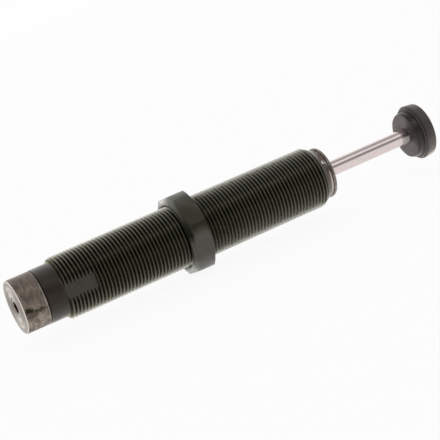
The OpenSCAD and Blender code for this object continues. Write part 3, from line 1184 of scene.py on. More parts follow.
@dataclass(frozen=True)
class NutFinish(RoundFinish):
    """A blackened nut with one facet worn brown, painted shade on its rear chamfer and painted
    sheen.

    Attributes:
        facets: Where the rear chamfer goes over into the facets.
        worn: Colour of the worn facet.
        worn_spot: Place of the wear.
        worn_share: Share of the wear on the chamfer and on the facets.
        chamfer: Colour of the painted shade on the rear chamfer.
        shade_low_up: Where the painted shade starts.
        shade_high_up: Where the painted shade ends.
        shade_metallic: Metallic of the painted shade.
        sheen_low_up: Painted sheen on the underside.
        sheen_high_up: Painted sheen added on the top.
    """

    facets: Fade = Fade(69.7, 70.1)
    worn: Colour = (0.092, 0.081, 0.071)
    worn_spot: Spot = Spot((73.3, -14.6, -5.0), (7.0, 6.0, 8.4), 0.15, 180.0)
    worn_share: Fade = Fade(0, 1, 0.8, 1)
    chamfer: Colour = (0.010, 0.010, 0.006)
    shade_low_up: Fade = Fade(-0.2, 0.05)
    shade_high_up: Fade = Fade(0.3, 0.7, 1, 0)
    shade_metallic: float = 0.45
    sheen_low_up: Fade = Fade(-0.75, -0.45, 2.4, 0.2)
    sheen_high_up: Fade = Fade(0.68, 0.9, 0, 0.9)

    def mark(self, sheet: Canvas, coat: Coat) -> None:
        """Wears one facet, paints shade on the rear chamfer and paints sheen, strongest on the
        underside.

        Args:
            sheet: The material's sheet.
            coat: The coat to change.
        """
        up = sheet.at["Up"]
        facets = sheet.reach(sheet.at["Along"], self.facets)
        worn = sheet.both(sheet.spot(self.worn_spot), sheet.fade(facets, self.worn_share))
        coat.cover(sheet, worn, self.worn)
        # painted shade: darkens the rear chamfer from about the axis's height to above it
        painted_shade = sheet.both(
            sheet.rest(facets),
            sheet.both(sheet.fade(up, self.shade_low_up), sheet.fade(up, self.shade_high_up)),
        )
        coat.cover(sheet, painted_shade, self.chamfer)
        coat.metallic = sheet.both(painted_shade, self.shade_metallic)
        # painted sheen: strongest on the underside, with more added on the top
        coat.painted_sheen = sheet.math(
            "ADD", sheet.fade(up, self.sheen_low_up), sheet.fade(up, self.sheen_high_up)
        )


@dataclass(frozen=True)
class FacedFinish(Finish):
    """A turned piece whose rear face takes a painted highlight above and below the axis, across its
    round tool marks.

    Attributes:
        face_x: Place of the rear face, in millimetres.
        face: Colour of the face where the highlight is painted.
        face_shade: Colour of the face beside it.
        face_depth: How deep the face's colour reaches, from the face.
        highlight_power: Power that narrows the painted highlight towards straight up and down.
    """

    face_x: float = 0.0
    face: Colour = (0.70, 0.635, 0.575)
    face_shade: Colour = (0.255, 0.225, 0.20)
    face_depth: Fade = Fade(0.02, 0.3, 1, 0)
    highlight_power: float = 2.6

    def on_face(self, sheet: Canvas) -> Socket:
        """Gives 1 on the rear face and 0 in front of it."""
        return sheet.reach(sheet.at["Along"], self.face_depth, self.face_x)

    def highlight_share(self, sheet: Canvas) -> Socket:
        """Gives the share of the painted highlight, which is strongest above and below the axis."""
        return sheet.math("POWER", sheet.math("ABSOLUTE", sheet.at["Up"]), self.highlight_power)


@dataclass(frozen=True)
class SpindleFinish(FacedFinish):
    """Bare steel with a painted highlight on its face and painted shade in its socket.

    Attributes:
        socket: Colour of the painted shade inside the socket.
        socket_radius: Radius up to which that painted shade reaches.
    """

    socket: Colour = (0.10, 0.066, 0.050)
    socket_radius: Fade = Fade(2.45, 2.85, 1, 0)

    def mark(self, sheet: Canvas, coat: Coat) -> None:
        """Paints shade in the socket and a highlight on the face.

        Args:
            sheet: The material's sheet.
            coat: The coat to change.
        """
        # painted highlight on the face, above and below the axis
        face = sheet.blend(self.highlight_share(sheet), self.face_shade, self.face)
        coat.cover(sheet, self.on_face(sheet), face)
        # painted shade inside the socket
        inside = sheet.reach(sheet.at["Radius"], self.socket_radius)
        coat.cover(sheet, inside, self.socket)


@dataclass(frozen=True)
class HubFinish(FacedFinish):
    """A blackened hub whose rear face is painted with a highlight and a shaded side, with a flange
    edge that is worn and painted with a highlight.

    Attributes:
        wall: Colour of the wall and its chamfer.
        wall_share: Share of that colour in the coat.
        wall_radius: Where the face goes over into the rear chamfer.
        shade_away: Direction of the face's painted shade, as its share along +Y.
        shade_above: The same along +Z.
        shade_reach: How the face's painted highlight goes over into its painted shade, by
            direction.
        worn: Colour of the flange edge, worn and painted with a highlight.
        worn_and_highlight_edge: Place of that edge, from the face.
        worn_share: Strength of that wear and painted highlight.
        sheen_up: Painted sheen from the underside to above.
        sheen_off_face: Painted sheen on the wall and on the face.
        wall_gloss: What the roughness is lower by on the wall, and on the face.
    """

    wall: Colour = (0.018, 0.012, 0.0115)
    wall_share: float = 0.6
    wall_radius: Fade = Fade(9.05, 9.25, 1, 0)
    shade_away: float = -0.97
    shade_above: float = 0.22
    shade_reach: Fade = Fade(0.55, 0.97)
    worn: Colour = (0.2, 0.18, 0.16)
    worn_and_highlight_edge: Band = Band(3.2, 0.16, 0.12)
    worn_share: float = 0.5
    sheen_up: Fade = Fade(-0.45, -0.05, 1, 0)
    sheen_off_face: Fade = Fade(0, 1, 1, 0)
    wall_gloss: Fade = Fade(0, 1, 0.12, 0)

    def mark(self, sheet: Canvas, coat: Coat) -> None:
        """Paints a highlight on the face and shade on its near side, wears the flange edge with a
        painted highlight and paints sheen on the wall's underside.

        Args:
            sheet: The material's sheet.
            coat: The coat to change.
        """
        along, up = sheet.at["Along"], sheet.at["Up"]
        # painted highlight on the face, with painted shade on its near side
        shaded = sheet.math(
            "ADD", sheet.both(sheet.at["Away"], self.shade_away), sheet.both(up, self.shade_above)
        )
        face = sheet.blend(sheet.fade(shaded, self.shade_reach), self.face, self.face_shade)
        flat = sheet.both(
            self.on_face(sheet), sheet.reach(sheet.at["Radius"], self.wall_radius)
        )
        wall = sheet.blend(self.wall_share, coat.colour, self.wall)
        coat.colour = sheet.blend(flat, wall, face)
        # flange edge: wear with a painted highlight
        edge = sheet.near(along, self.worn_and_highlight_edge, self.face_x)
        coat.cover(sheet, sheet.both(edge, self.worn_share), self.worn)
        # painted sheen on the wall's underside, none on the face
        coat.painted_sheen = sheet.both(sheet.fade(up, self.sheen_up), sheet.fade(flat, self.sheen_off_face))
        coat.rough = sheet.math("SUBTRACT", coat.rough, sheet.fade(flat, self.wall_gloss))


@dataclass(frozen=True)
class RodFinish(Finish):
    """Hard chrome that ends in a duller collar at the head, with painted light making its underside
    paler.

    Attributes:
        end_x: Where the head starts, in millimetres.
        collar: Where the dull collar starts, from the head.
        collar_underlight_up: Share of the painted light on the collar, from below to above.
        collar_underlight: Pale colour of that painted light.
        collar_underlight_metallic: Metallic of the rod and of the painted light.
        collar_dull: What the collar's roughness is above the rod's.
    """

    end_x: float = 177.0
    collar: Fade = Fade(-3.9, -3.0)
    collar_underlight_up: Fade = Fade(-0.2, 0.3, 1, 0)
    collar_underlight: Colour = (0.84, 0.76, 0.74)
    collar_underlight_metallic: Fade = Fade(0, 1, 1, 0.15)
    collar_dull: Fade = Fade(0, 1, 0, 0.14)

    def mark(self, sheet: Canvas, coat: Coat) -> None:
        """Dulls the collar, and paints light on its underside.

        Args:
            sheet: The material's sheet.
            coat: The coat to change.
        """
        collar = sheet.reach(sheet.at["Along"], self.collar, self.end_x)
        # painted light: the collar's underside is paler and less metallic
        pale = sheet.both(collar, sheet.fade(sheet.at["Up"], self.collar_underlight_up))
        coat.cover(sheet, pale, self.collar_underlight)
        coat.metallic = sheet.fade(pale, self.collar_underlight_metallic)
        coat.rough = sheet.math("ADD", coat.rough, sheet.fade(collar, self.collar_dull))


@dataclass(frozen=True)
class CapFinish(Finish):
    """A dull cap, with painted sheen strongest on its underside.

    Attributes:
        sheen_up: Painted sheen from the underside to above.
    """

    sheen_up: Fade = Fade(-0.4, 0.05, 2.4, 0.5)

    def mark(self, sheet: Canvas, coat: Coat) -> None:
        """Paints more sheen on the underside than on the top."""
        # painted sheen, strongest on the underside
        coat.painted_sheen = sheet.fade(sheet.at["Up"], self.sheen_up)


@dataclass(frozen=True)
class GlandFinish(Finish):
    """A browned gland with a bare groove behind its rim, whose underside takes a painted reflection
    of the floor.

    Attributes:
        groove_end: Where the groove ends, in millimetres.
        groove: Pale colour of the painted reflection on the groove's underside.
        groove_reach: How the groove ends, from its end.
        groove_reflection_up: Share of that painted reflection, from below to above.
        groove_gloss: What the roughness is lower by in the groove.
        worn: Colour of the rim's rounded front edge.
        worn_reach: Where that edge starts, from the groove's end.
        worn_share: Strength of that wear.
        sheen_up: Painted sheen from the underside to above.
    """

    groove_end: float = 135.5
    groove: Colour = (0.50, 0.45, 0.40)
    groove_reach: Fade = Fade(-0.25, 0.02, 1, 0)
    groove_reflection_up: Fade = Fade(-0.5, 0.3, 1, 0.12)
    groove_gloss: Fade = Fade(0, 1, 0, 0.08)
    worn: Colour = (0.5, 0.46, 0.42)
    worn_reach: Fade = Fade(0.7, 1.2)
    worn_share: float = 0.6
    sheen_up: Fade = Fade(-0.45, 0.0, 2.4, 0.6)

    def mark(self, sheet: Canvas, coat: Coat) -> None:
        """Paints a floor reflection on the bare groove's underside, wears the front edge and paints
        sheen on the underside.

        Args:
            sheet: The material's sheet.
            coat: The coat to change.
        """
        along, up = sheet.at["Along"], sheet.at["Up"]
        bare = sheet.reach(along, self.groove_reach, self.groove_end)
        front = sheet.reach(along, self.worn_reach, self.groove_end)
        below = sheet.fade(up, self.groove_reflection_up)
        # painted reflection of the floor on the groove's underside
        coat.cover(sheet, sheet.both(bare, below), self.groove)
        coat.cover(sheet, sheet.both(front, self.worn_share), self.worn)
        coat.rough = sheet.math("SUBTRACT", coat.rough, sheet.fade(bare, self.groove_gloss))
        # painted sheen, strongest on the underside
        coat.painted_sheen = sheet.fade(up, self.sheen_up)


@dataclass(frozen=True)
class PlugFinish(FacedFinish):
    """Bare turned steel with brown smears, a dark stain, painted floor light on the wall's
    underside, a painted highlight on the face and bright rims.

    Attributes:
        seam: Where the plug meets the housing, in millimetres.
        seam_colour: Colour of the dirt in that seam.
        seam_reach: How the dirt starts, from the seam.
        under: Paler colour of the wall's underside, painted floor light.
        under_up: Where that painted floor light ends, by direction.
        thin: Colour of the thin smears.
        thin_share: Share of the thin smears.
        stain: Colour of the dark stain.
        stains: The spots that make it.
        light_radius: Where the face's painted highlight ends.
        ring: Place of the groove in the face.
        ring_share: How much the groove darkens.
        rim: Colour of the rims, worn and painted with a highlight.
        rim_radius: Share of the rim's colour on the face.
        rear_rim: Place of the rear rim on the wall.
        front_rim: Place of the front rim, from the seam.
        front_rim_share: Strength of the front rim.
        rim_depth: Radius at which the rims start.
    """

    seam: float = 9.65
    seam_colour: Colour = (0.02, 0.018, 0.016)
    seam_reach: Fade = Fade(-0.06, 0.0)
    under: Colour = (0.37, 0.31, 0.265)
    under_up: Fade = Fade(-0.55, -0.2, 1, 0)
    thin: Colour = (0.27, 0.205, 0.180)
    thin_share: Fade = Fade(0, 1, 0, 0.45)
    stain: Colour = (0.027, 0.026, 0.018)
    stains: tuple[Spot, ...] = (
        Spot((1.9, -10.6, -1.1), (2.1, 4.0, 1.1), 1.2, 620.0, 1.0),
        Spot((5.8, -10.6, -1.9), (3.6, 4.0, 1.2), 2.2, 640.0, 1.2, 0.8),
        Spot((2.6, -10.6, -2.5), (2.6, 4.0, 1.4), 1.6, 560.0, 1.2, 0.6),
    )
    light_radius: Fade = Fade(7.6, 9.6, 1, 0)
    ring: Band = Band(6.6, 0.3, 0.9)
    ring_share: float = 0.35
    rim: Colour = (0.72, 0.66, 0.60)
    rim_radius: Fade = Fade(8.6, 10.3, 0, 0.55)
    rear_rim: Band = Band(0.12, 0.1, 0.14)
    front_rim: Band = Band(-0.25, 0.2, 0.2)
    front_rim_share: float = 0.2
    rim_depth: Fade = Fade(10.35, 10.5)

    def mark(self, sheet: Canvas, coat: Coat) -> None:
        """Smears the wall, stains it, and paints highlights on the face and on the worn rims.

        Args:
            sheet: The material's sheet.
            coat: The coat to change.
        """
        along, wall, face = sheet.at["Along"], self.wall(sheet), self.end_face(sheet)
        front_rim = sheet.near(along, self.front_rim, self.seam)
        # the rims: wear with a painted highlight
        rims = sheet.math(
            "MAXIMUM", sheet.near(along, self.rear_rim), sheet.both(front_rim, self.front_rim_share)
        )
        rims = sheet.both(rims, sheet.reach(sheet.at["Radius"], self.rim_depth))
        coat.colour = sheet.blend(self.on_face(sheet), wall, face)
        coat.cover(sheet, rims, self.rim)

    def wall(self, sheet: Canvas) -> Socket:
        """Colours the smeared and stained wall, with painted floor light on its underside.

        Args:
            sheet: The material's sheet.

        Returns:
            The wall's colour.
        """
        smears = sheet.groups.use(sheet, sheet.groups.smears()).outputs
        # painted floor light: the wall's underside is paler
        wall = sheet.blend(sheet.fade(sheet.at["Up"], self.under_up), self.colour, self.under)
        wall = sheet.blend(smears["Broad"], self.shade, wall)
        wall = sheet.blend(sheet.fade(smears["Thin"], self.thin_share), wall, self.thin)
        dark: object = 0.0
        for spot in self.stains:
            dark = sheet.math("MAXIMUM", dark, sheet.both(sheet.spot(spot), spot.share))
        wall = sheet.blend(dark, wall, self.stain)
        seam = sheet.reach(sheet.at["Along"], self.seam_reach, self.seam)
        return sheet.blend(seam, wall, self.seam_colour)

    def end_face(self, sheet: Canvas) -> Socket:
        """Colours the rear face, with a painted highlight above and below the axis.

        Args:
            sheet: The material's sheet.

        Returns:
            The face's colour.
        """
        radius = sheet.at["Radius"]
        # painted highlight on the face, above and below the axis
        light = sheet.both(self.highlight_share(sheet), sheet.reach(radius, self.light_radius))
        face = sheet.blend(light, self.face_shade, self.face)
        ring = sheet.both(sheet.near(radius, self.ring), self.ring_share)
        face = sheet.blend(ring, face, self.face_shade)
        return sheet.blend(sheet.reach(radius, self.rim_radius), face, self.rim)


# --------------------------------------------------------------------------- pieces


@dataclass
class Piece:
    """One new piece and how it is dressed.

    Attributes:
        thing: The Blender object.
        body: The body that it rides on.
        node: The CAD node that it stands for.
        slot: The record's material slot.
        finish: The material.
    """

    thing: Thing
    body: Body
    node: str
    slot: str
    finish: Material

    def settle(self) -> None:
        """Dresses the piece and puts it on its body in place of its CAD node."""
        self.thing.data.materials.clear()
        self.thing.data.materials.append(self.finish)
        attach(self.thing, self.body.value)
        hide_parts(self.node)
        LOG.info("%s: %d faces", self.thing.name, len(self.thing.data.polygons))


@dataclass
class Housing:
    """The threaded housing, with its neck, wrench flats and front chamfer.

    Sizes are in millimetres, and a name that ends in x is a place along the axis.
    """

    crest_r: float = 12.5
    root_r: float = 11.58
    pitch: float = 1.5
    # corners of the thread's profile, as shares of the pitch
    shares: tuple[float, ...] = (0.13, 0.17, 0.42, 0.45, 0.59, 0.62, 0.87, 0.91)
    root_ease: float = 0.04  # rounding at the root
    crest_ease: float = 0.05  # rounding at the crest
    bore_r: float = 9.25
    neck_x: float = 9.85
    neck_r: float = 10.875
    thread_x: float = 16.9  # where the neck ends
    thread_end_x: float = 130.4  # where the front chamfer starts
    nose_x: float = 134.6435
    nose_r: float = 10.05
    flat_y: float = 11.3  # from the axis
    flat_end_x: float = 30.0
    cutter_t: float = 4.0  # thickness of the flats' cutter
    cutter_w: float = 30.0  # and its width
    start_past: float = 1.0  # the roots on the top side count from here, past the neck's rear
    start_turn: float = 0.22  # and lie this far on, in turns
    turns_before: int = 2  # whole turns that the screw starts sooner
    past: float = 2.5  # how far the screw reaches past the nose
    steps: int = 86  # segments of each turn
    smooth_deg: float = 32.0  # edges over this angle stay sharp

    def envelope(self, bench: Bench) -> Thing:
        """Turns the housing with its bore and no thread, and cuts the wrench flats.

        Args:
            bench: The modelling bench.

        Returns:
            A closed solid.
        """
        body = bench.turn(
            "housing_envelope",
            outline(
                (self.neck_x, self.bore_r),
                (self.neck_x, self.neck_r - EDGE),
                (self.neck_x + EDGE, self.neck_r),
                (self.thread_x, self.neck_r),
                (self.thread_x + self.crest_r - self.neck_r, self.crest_r),
                (self.thread_end_x, self.crest_r),
                (self.nose_x, self.nose_r),
                (self.nose_x, self.bore_r),
            ),
            sides=2 * self.steps,
            hollow=True,
        )
        reach = self.flat_end_x - self.thread_x + OVERLAP
        middle = self.flat_end_x - reach / 2
        for side in (-1, 1):
            bench.clear()
            bpy.ops.mesh.primitive_cube_add(
                size=MM,
                location=(middle * MM, side * (self.flat_y + self.cutter_t / 2) * MM, 0),
                scale=(reach, self.cutter_t, self.cutter_w),
            )
            bench.combine(body, bench.take("flat_cutter"), Cut.REMOVE)
        return body

    def profile(self) -> list[tuple[float, float]]:
        """Gives the thread's profile over one pitch, as places along it and radii.

        Returns:
            The profile, from root to root.
        """
        root, crest = self.root_r, self.crest_r
        low, high = root + self.root_ease, crest - self.crest_ease
        radii = (root, low, high, crest, crest, high, low, root)
        bends = [(share * self.pitch, r) for share, r in zip(self.shares, radii)]
        return [(0.0, root), *bends, (self.pitch, root)]

    def thread(self, bench: Bench) -> Thing:
        """Winds the thread's profile into a closed screw that is longer than the housing.

        Args:
            bench: The modelling bench.

        Returns:
            A closed solid.
        """
        turned = self.start_turn - self.turns_before
        start = self.neck_x + self.start_past + turned * self.pitch
        turns = math.ceil((self.nose_x + self.past - start) / self.pitch)
        bench.clear()
        bpy.ops.mesh.primitive_plane_add(size=MM)
        screw = bench.take("housing")
        bench.open_up()
        bpy.ops.mesh.merge(type="CENTER")
        (x, r), *others = self.profile()
        bpy.ops.transform.translate(value=((start + x) * MM, 0, r * MM))
        for to_x, to_r in others:
            bpy.ops.mesh.extrude_region_move(
                TRANSFORM_OT_translate={"value": ((to_x - x) * MM, 0, (to_r - r) * MM)}
            )
            x, r = to_x, to_r
        bpy.ops.object.mode_set(mode="OBJECT")
        bench.wind(screw, start, self.pitch, turns, self.steps)
        return screw

    def build(self, bench: Bench) -> Thing:
        """Builds the whole housing.

        Args:
            bench: The modelling bench.

        Returns:
            The housing.
        """
        screw = self.thread(bench)
        bench.combine(screw, self.envelope(bench), Cut.KEEP_COMMON)
        bench.smooth(screw, self.smooth_deg)
        return screw


@dataclass
class LockNut:
    """The hexagonal lock nut with turned corners.

    Sizes are in millimetres.
    """

    x: float = 68.7
    length: float = 9.3
    facets: int = 6
    af: float = 31.0  # across the facets
    corner_r: float = 16.8
    face_r: float = 14.3  # flat part of each face
    bore_r: float = 12.55
    lead: float = 0.92  # chamfer of the bore
    chamfer_deg: float = 30.0
    clock_deg: float = 11.0  # turn on the thread
    edge: float = 0.3  # rounding of the edges
    edge_deg: float = 15.0  # edges under this angle stay
    edge_steps: int = 3
    sides: int = 240
    smooth_deg: float = 30.0  # edges over this angle stay sharp

    def hexagon(self, bench: Bench) -> Thing:
        """Makes the plain hexagonal bar.

        Args:
            bench: The modelling bench.

        Returns:
            The bar.
        """
        bench.clear()
        bpy.ops.mesh.primitive_cylinder_add(
            vertices=self.facets,
            radius=self.af / 2 / math.cos(math.radians(180 / self.facets)) * MM,
            depth=self.length * MM,
        )
        # a corner of the primitive lies on its own +Y; it is brought to -Y, then clocked
        bpy.context.object.matrix_world = (
            Matrix.Translation(((self.x + self.length / 2) * MM, 0, 0))
            @ Matrix.Rotation(math.radians(180 - self.clock_deg), 4, "X")
            @ Matrix.Rotation(math.radians(90), 4, "Y")
        )
        return bench.take("lock_nut_milled")

    def build(self, bench: Bench) -> Thing:
        """Builds the nut.

        Args:
            bench: The modelling bench.

        Returns:
            The nut.
        """
        x, end = self.x, self.x + self.length
        rise = (self.corner_r - self.face_r) * math.tan(math.radians(self.chamfer_deg))
        mouth_r = self.bore_r + self.lead
        around = outline(
            (x, self.face_r), (x + rise, self.corner_r), (end - rise, self.corner_r),
            (end, self.face_r),
        )
        bore = outline(
            (x - SPARE, mouth_r), (x, mouth_r), (x + self.lead, self.bore_r),
            (end - self.lead, self.bore_r), (end, mouth_r), (end + SPARE, mouth_r),
        )
        nut = self.hexagon(bench)
        bench.combine(nut, bench.turn("nut_envelope", around, self.sides), Cut.KEEP_COMMON)
        bench.combine(nut, bench.turn("nut_bore", bore, self.sides), Cut.REMOVE)
        bench.ease(nut, self.edge, self.edge_deg, self.edge_steps)
        bench.smooth(nut, self.smooth_deg)
        return nut


@dataclass
class RearEnd:
    """The rear plug.

    Sizes are in millimetres, and a name that ends in x is a place along the axis.
    """

    plug_r: float = 10.75
    rim: float = 0.35  # reach of the worn rear rim
    rim_near: float = 0.1  # place of the corner within it, along the axis
    rim_far: float = 0.15  # the same corner's depth below the wall
    seam_x: float = 9.65
    seam_round: float = 0.2  # reach of the front edge's rounding
    seam_ease: float = 0.06  # reach of the corner within it
    seam_depth: float = 0.25
    neck_x: float = 9.85
    spigot_r: float = 9.23
    spigot_end_x: float = 17.35
    bore_r: float = 4.03
    recess_x: float = 15.59  # where the bore widens
    recess_r: float = 5.7
    ring_r: float = 6.6  # groove in the rear face
    ring_half: float = 0.15  # half its width
    ring_floor: float = 0.1  # its depth, and half the width of its floor
    ease: float = 0.04

    def build(self, bench: Bench) -> Thing:
        """Builds the plug.

        Args:
            bench: The modelling bench.

        Returns:
            The plug.
        """
        seam_x, plug_r = self.seam_x, self.plug_r
        plug = bench.turn(
            "rear_plug_turned",
            outline(
                (EDGE, self.bore_r),
                (0.0, self.bore_r + EDGE),
                (0.0, self.ring_r - self.ring_half),
                (self.ring_floor, self.ring_r - self.ring_floor),
                (self.ring_floor, self.ring_r + self.ring_floor),
                (0.0, self.ring_r + self.ring_half),
                (0.0, plug_r - self.rim),
                (self.rim_near, plug_r - self.rim_far),
                (self.rim, plug_r),
                (seam_x - self.seam_round, plug_r),
                (seam_x - self.seam_ease, plug_r - self.seam_ease),
                (seam_x, plug_r - EDGE),
                (seam_x, plug_r - self.seam_depth),
                (self.neck_x, plug_r - self.seam_depth),
                (self.neck_x, self.spigot_r),
                (self.spigot_end_x, self.spigot_r),
                (self.spigot_end_x, self.recess_r),
                (self.recess_x, self.recess_r),
                (self.recess_x, self.bore_r),
            ),
            hollow=True,
        )
        bench.ease(plug, self.ease)
        bench.smooth(plug)
        return plug


@dataclass
class FrontEnd:
    """The front gland with its rim and groove.

    Sizes are in millimetres, and a name that ends in x is a place along the axis.
    """

    rear_x: float = 130.1435
    nose_x: float = 134.6435  # the housing's front end
    front_x: float = 137.0435
    spigot_r: float = 9.23
    groove_r: float = 9.75
    groove_round: float = 0.25  # rounding from the groove to the rim
    groove_ease: float = 0.07  # reach of the corner within it
    rim_r: float = 10.55
    rim_round: float = 0.8  # rounding of the rim's front edge
    rim_steps: int = 6
    rod_r: float = 3.2  # passage of the rod
    mouth_r: float = 5.3  # seat of the wiper
    mouth_depth: float = 3.5

    def build(self, bench: Bench) -> Thing:
        """Builds the gland.

        Args:
            bench: The modelling bench.

        Returns:
            The gland.
        """
        rim_x, start_x = self.nose_x + GLAND_GROOVE, self.nose_x + OVERLAP
        front_x, mouth_x = self.front_x, self.front_x - self.mouth_depth
        gland = bench.turn(
            "front_gland_turned",
            outline(
                (self.rear_x, self.rod_r),
                (self.rear_x, self.spigot_r),
                (start_x, self.spigot_r),
                (start_x, self.groove_r),
                (rim_x - self.groove_round, self.groove_r),
                (rim_x - self.groove_ease, self.groove_r + self.groove_ease),
                (rim_x, self.groove_r + self.groove_round),
                (rim_x, self.rim_r - EDGE),
                (rim_x + EDGE, self.rim_r),
                *rounded(front_x, self.rim_r, self.rim_round, self.rim_steps),
                (front_x, self.mouth_r),
                (mouth_x, self.mouth_r),
                (mouth_x, self.rod_r),
            ),
            hollow=True,
        )
        bench.smooth(gland)
        return gland


@dataclass
class ImpactHead:
    """The rod, the head's hub and the impact cap.

    Sizes are in millimetres, and a name that ends in x is a place along the axis.
    """

    rod_r: float = 3.0
    rod_edge: float = 0.3  # chamfer of both ends
    rod_sides: int = 96
    journal_r: float = 2.0  # seat of the piston
    rod_rear_x: float = 85.4435
    shoulder_x: float = 97.7435  # where the journal ends
    head_x: float = 177.1435  # rear face of the hub
    tap_r: float = 1.5  # hole of the screw
    tap_depth: float = 7.6
    tap_sides: int = 48
    hub_r: float = 9.6
    hub_len: float = 2.8
    hub_round: float = 0.12  # fillet to the flange
    hub_ease: float = 0.05  # rounding of the edges
    hub_ease_deg: float = 20.0  # edges under this angle stay
    chamfer: float = 0.9  # along the hub's rear edge
    flange_r: float = 10.6
    flange_t: float = 0.65
    boss_r: float = 6.0
    boss_len: float = 2.0
    head_r: float = 2.85  # hole of the screw's head
    web: float = 1.0  # between the rod and that hole
    cap_gap: float = 0.4  # length of the cap's neck
    cap_neck_r: float = 10.1
    cap_r: float = 11.45  # at the rear edge of the disc
    cap_front_r: float = 11.2
    cap_t: float = 3.9  # thickness of the disc
    cap_round: float = 0.35  # rounding of the front edge
    cap_steps: int = 5
    cap_ease: float = 0.04
    rod_in: float = 3.0  # how deep the rod sits in the hub
    relief_w: float = 0.25  # relief round the rod
    relief_depth: float = 0.3

    def rod(self, bench: Bench) -> Thing:
        """Builds the rod.

        Args:
            bench: The modelling bench.

        Returns:
            The rod.
        """
        end = self.head_x + self.rod_in
        rod = bench.turn(
            "piston_rod_turned",
            outline(
                (self.rod_rear_x, self.journal_r - EDGE),
                (self.rod_rear_x + EDGE, self.journal_r),
                (self.shoulder_x, self.journal_r),
                (self.shoulder_x, self.rod_r - self.rod_edge),
                (self.shoulder_x + self.rod_edge, self.rod_r),
                (end - self.rod_edge, self.rod_r),
                (end, self.rod_r - self.rod_edge),
            ),
            self.rod_sides,
        )
        hole = outline((end - self.tap_depth, self.tap_r), (end + SPARE, self.tap_r))
        bench.combine(rod, bench.turn("rod_tap", hole, self.tap_sides), Cut.REMOVE)
        bench.smooth(rod)
        return rod

    def button(self, bench: Bench) -> Thing:
        """Builds the hub with its thin flange.

        Args:
            bench: The modelling bench.

        Returns:
            The hub.
        """
        x, flange_x = self.head_x, self.head_x + self.hub_len
        boss_x = flange_x + self.flange_t
        end = boss_x + self.boss_len
        seat = x + self.rod_in
        relief_x, relief_r = x + self.relief_depth, self.rod_r + self.relief_w
        hub = bench.turn(
            "rod_button_turned",
            outline(
                (relief_x, self.rod_r),
                (relief_x, relief_r),
                (x, relief_r),
                (x, self.hub_r - self.chamfer / 2),
                (x + self.chamfer, self.hub_r),
                (flange_x - self.hub_round, self.hub_r),
                (flange_x, self.hub_r + self.hub_round),
                (flange_x, self.flange_r - EDGE),
                (flange_x + EDGE, self.flange_r),
                (boss_x - EDGE, self.flange_r),
                (boss_x, self.flange_r - EDGE),
                (boss_x, self.boss_r),
                (end, self.boss_r),
                (end, self.head_r),
                (seat + self.web, self.head_r),
                (seat + self.web, self.tap_r),
                (seat, self.tap_r),
                (seat, self.rod_r),
            ),
            hollow=True,
        )
        bench.ease(hub, self.hub_ease, self.hub_ease_deg)
        bench.smooth(hub)
        return hub

    def cap(self, bench: Bench) -> Thing:
        """Builds the impact cap.

        Args:
            bench: The modelling bench.

        Returns:
            The cap.
        """
        rear = self.head_x + self.hub_len + self.flange_t
        disc = rear + self.cap_gap
        cap = bench.turn(
            "impact_cap_turned",
            outline(
                (rear + self.boss_len, self.boss_r),
                (rear, self.boss_r),
                (rear, self.cap_neck_r),
                (disc, self.cap_neck_r),
                (disc, self.cap_r - EDGE),
                (disc + EDGE, self.cap_r),
                *rounded(disc + self.cap_t, self.cap_front_r, self.cap_round, self.cap_steps),
            ),
        )
        bench.ease(cap, self.cap_ease)
        bench.smooth(cap)
        return cap


@dataclass
class ReturnSpring:
    """The return spring.

    Sizes are in millimetres.
    """

    x: float = 22.0
    end_x: float = 82.0
    wire: float = 1.1
    wire_sides: int = 10
    coil_d: float = 9.7  # from wire to wire
    turns: int = 13
    steps: int = 24  # segments of each turn
    travel: float = 40.0  # stroke of the rod
    smooth_deg: float = 50.0  # edges over this angle stay sharp

    def build(self, bench: Bench) -> Thing:
        """Builds the spring at rest.

        Args:
            bench: The modelling bench.

        Returns:
            The spring.
        """
        bench.clear()
        bpy.ops.mesh.primitive_circle_add(
            vertices=self.wire_sides,
            radius=self.wire / 2 * MM,
            location=((self.x + self.wire / 2) * MM, 0, self.coil_d / 2 * MM),
            rotation=(math.pi / 2, 0, 0),
        )
        spring = bench.take("return_spring_wound")
        pitch = (self.end_x - self.x - self.wire) / self.turns
        bench.wind(spring, self.x, pitch, self.turns, self.steps)
        bench.smooth(spring, self.smooth_deg)
        return spring

    def shorten(self, spring: Thing) -> None:
        """Gives the settled spring a mesh of its own.

        Args:
            spring: The settled spring.
        """
        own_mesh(spring)


# --------------------------------------------------------------------------- studio


@dataclass(frozen=True)
class Softbox:
    """A square soft lamp.

    Attributes:
        name: Name of the lamp.
        towards: Direction from the object to the lamp.
        away: Distance, in metres.
        size: Side of the square, in metres.
        level: Brightness of its face, where 1 is white.
    """

    name: str
    towards: Point
    away: float
    size: float
    level: float


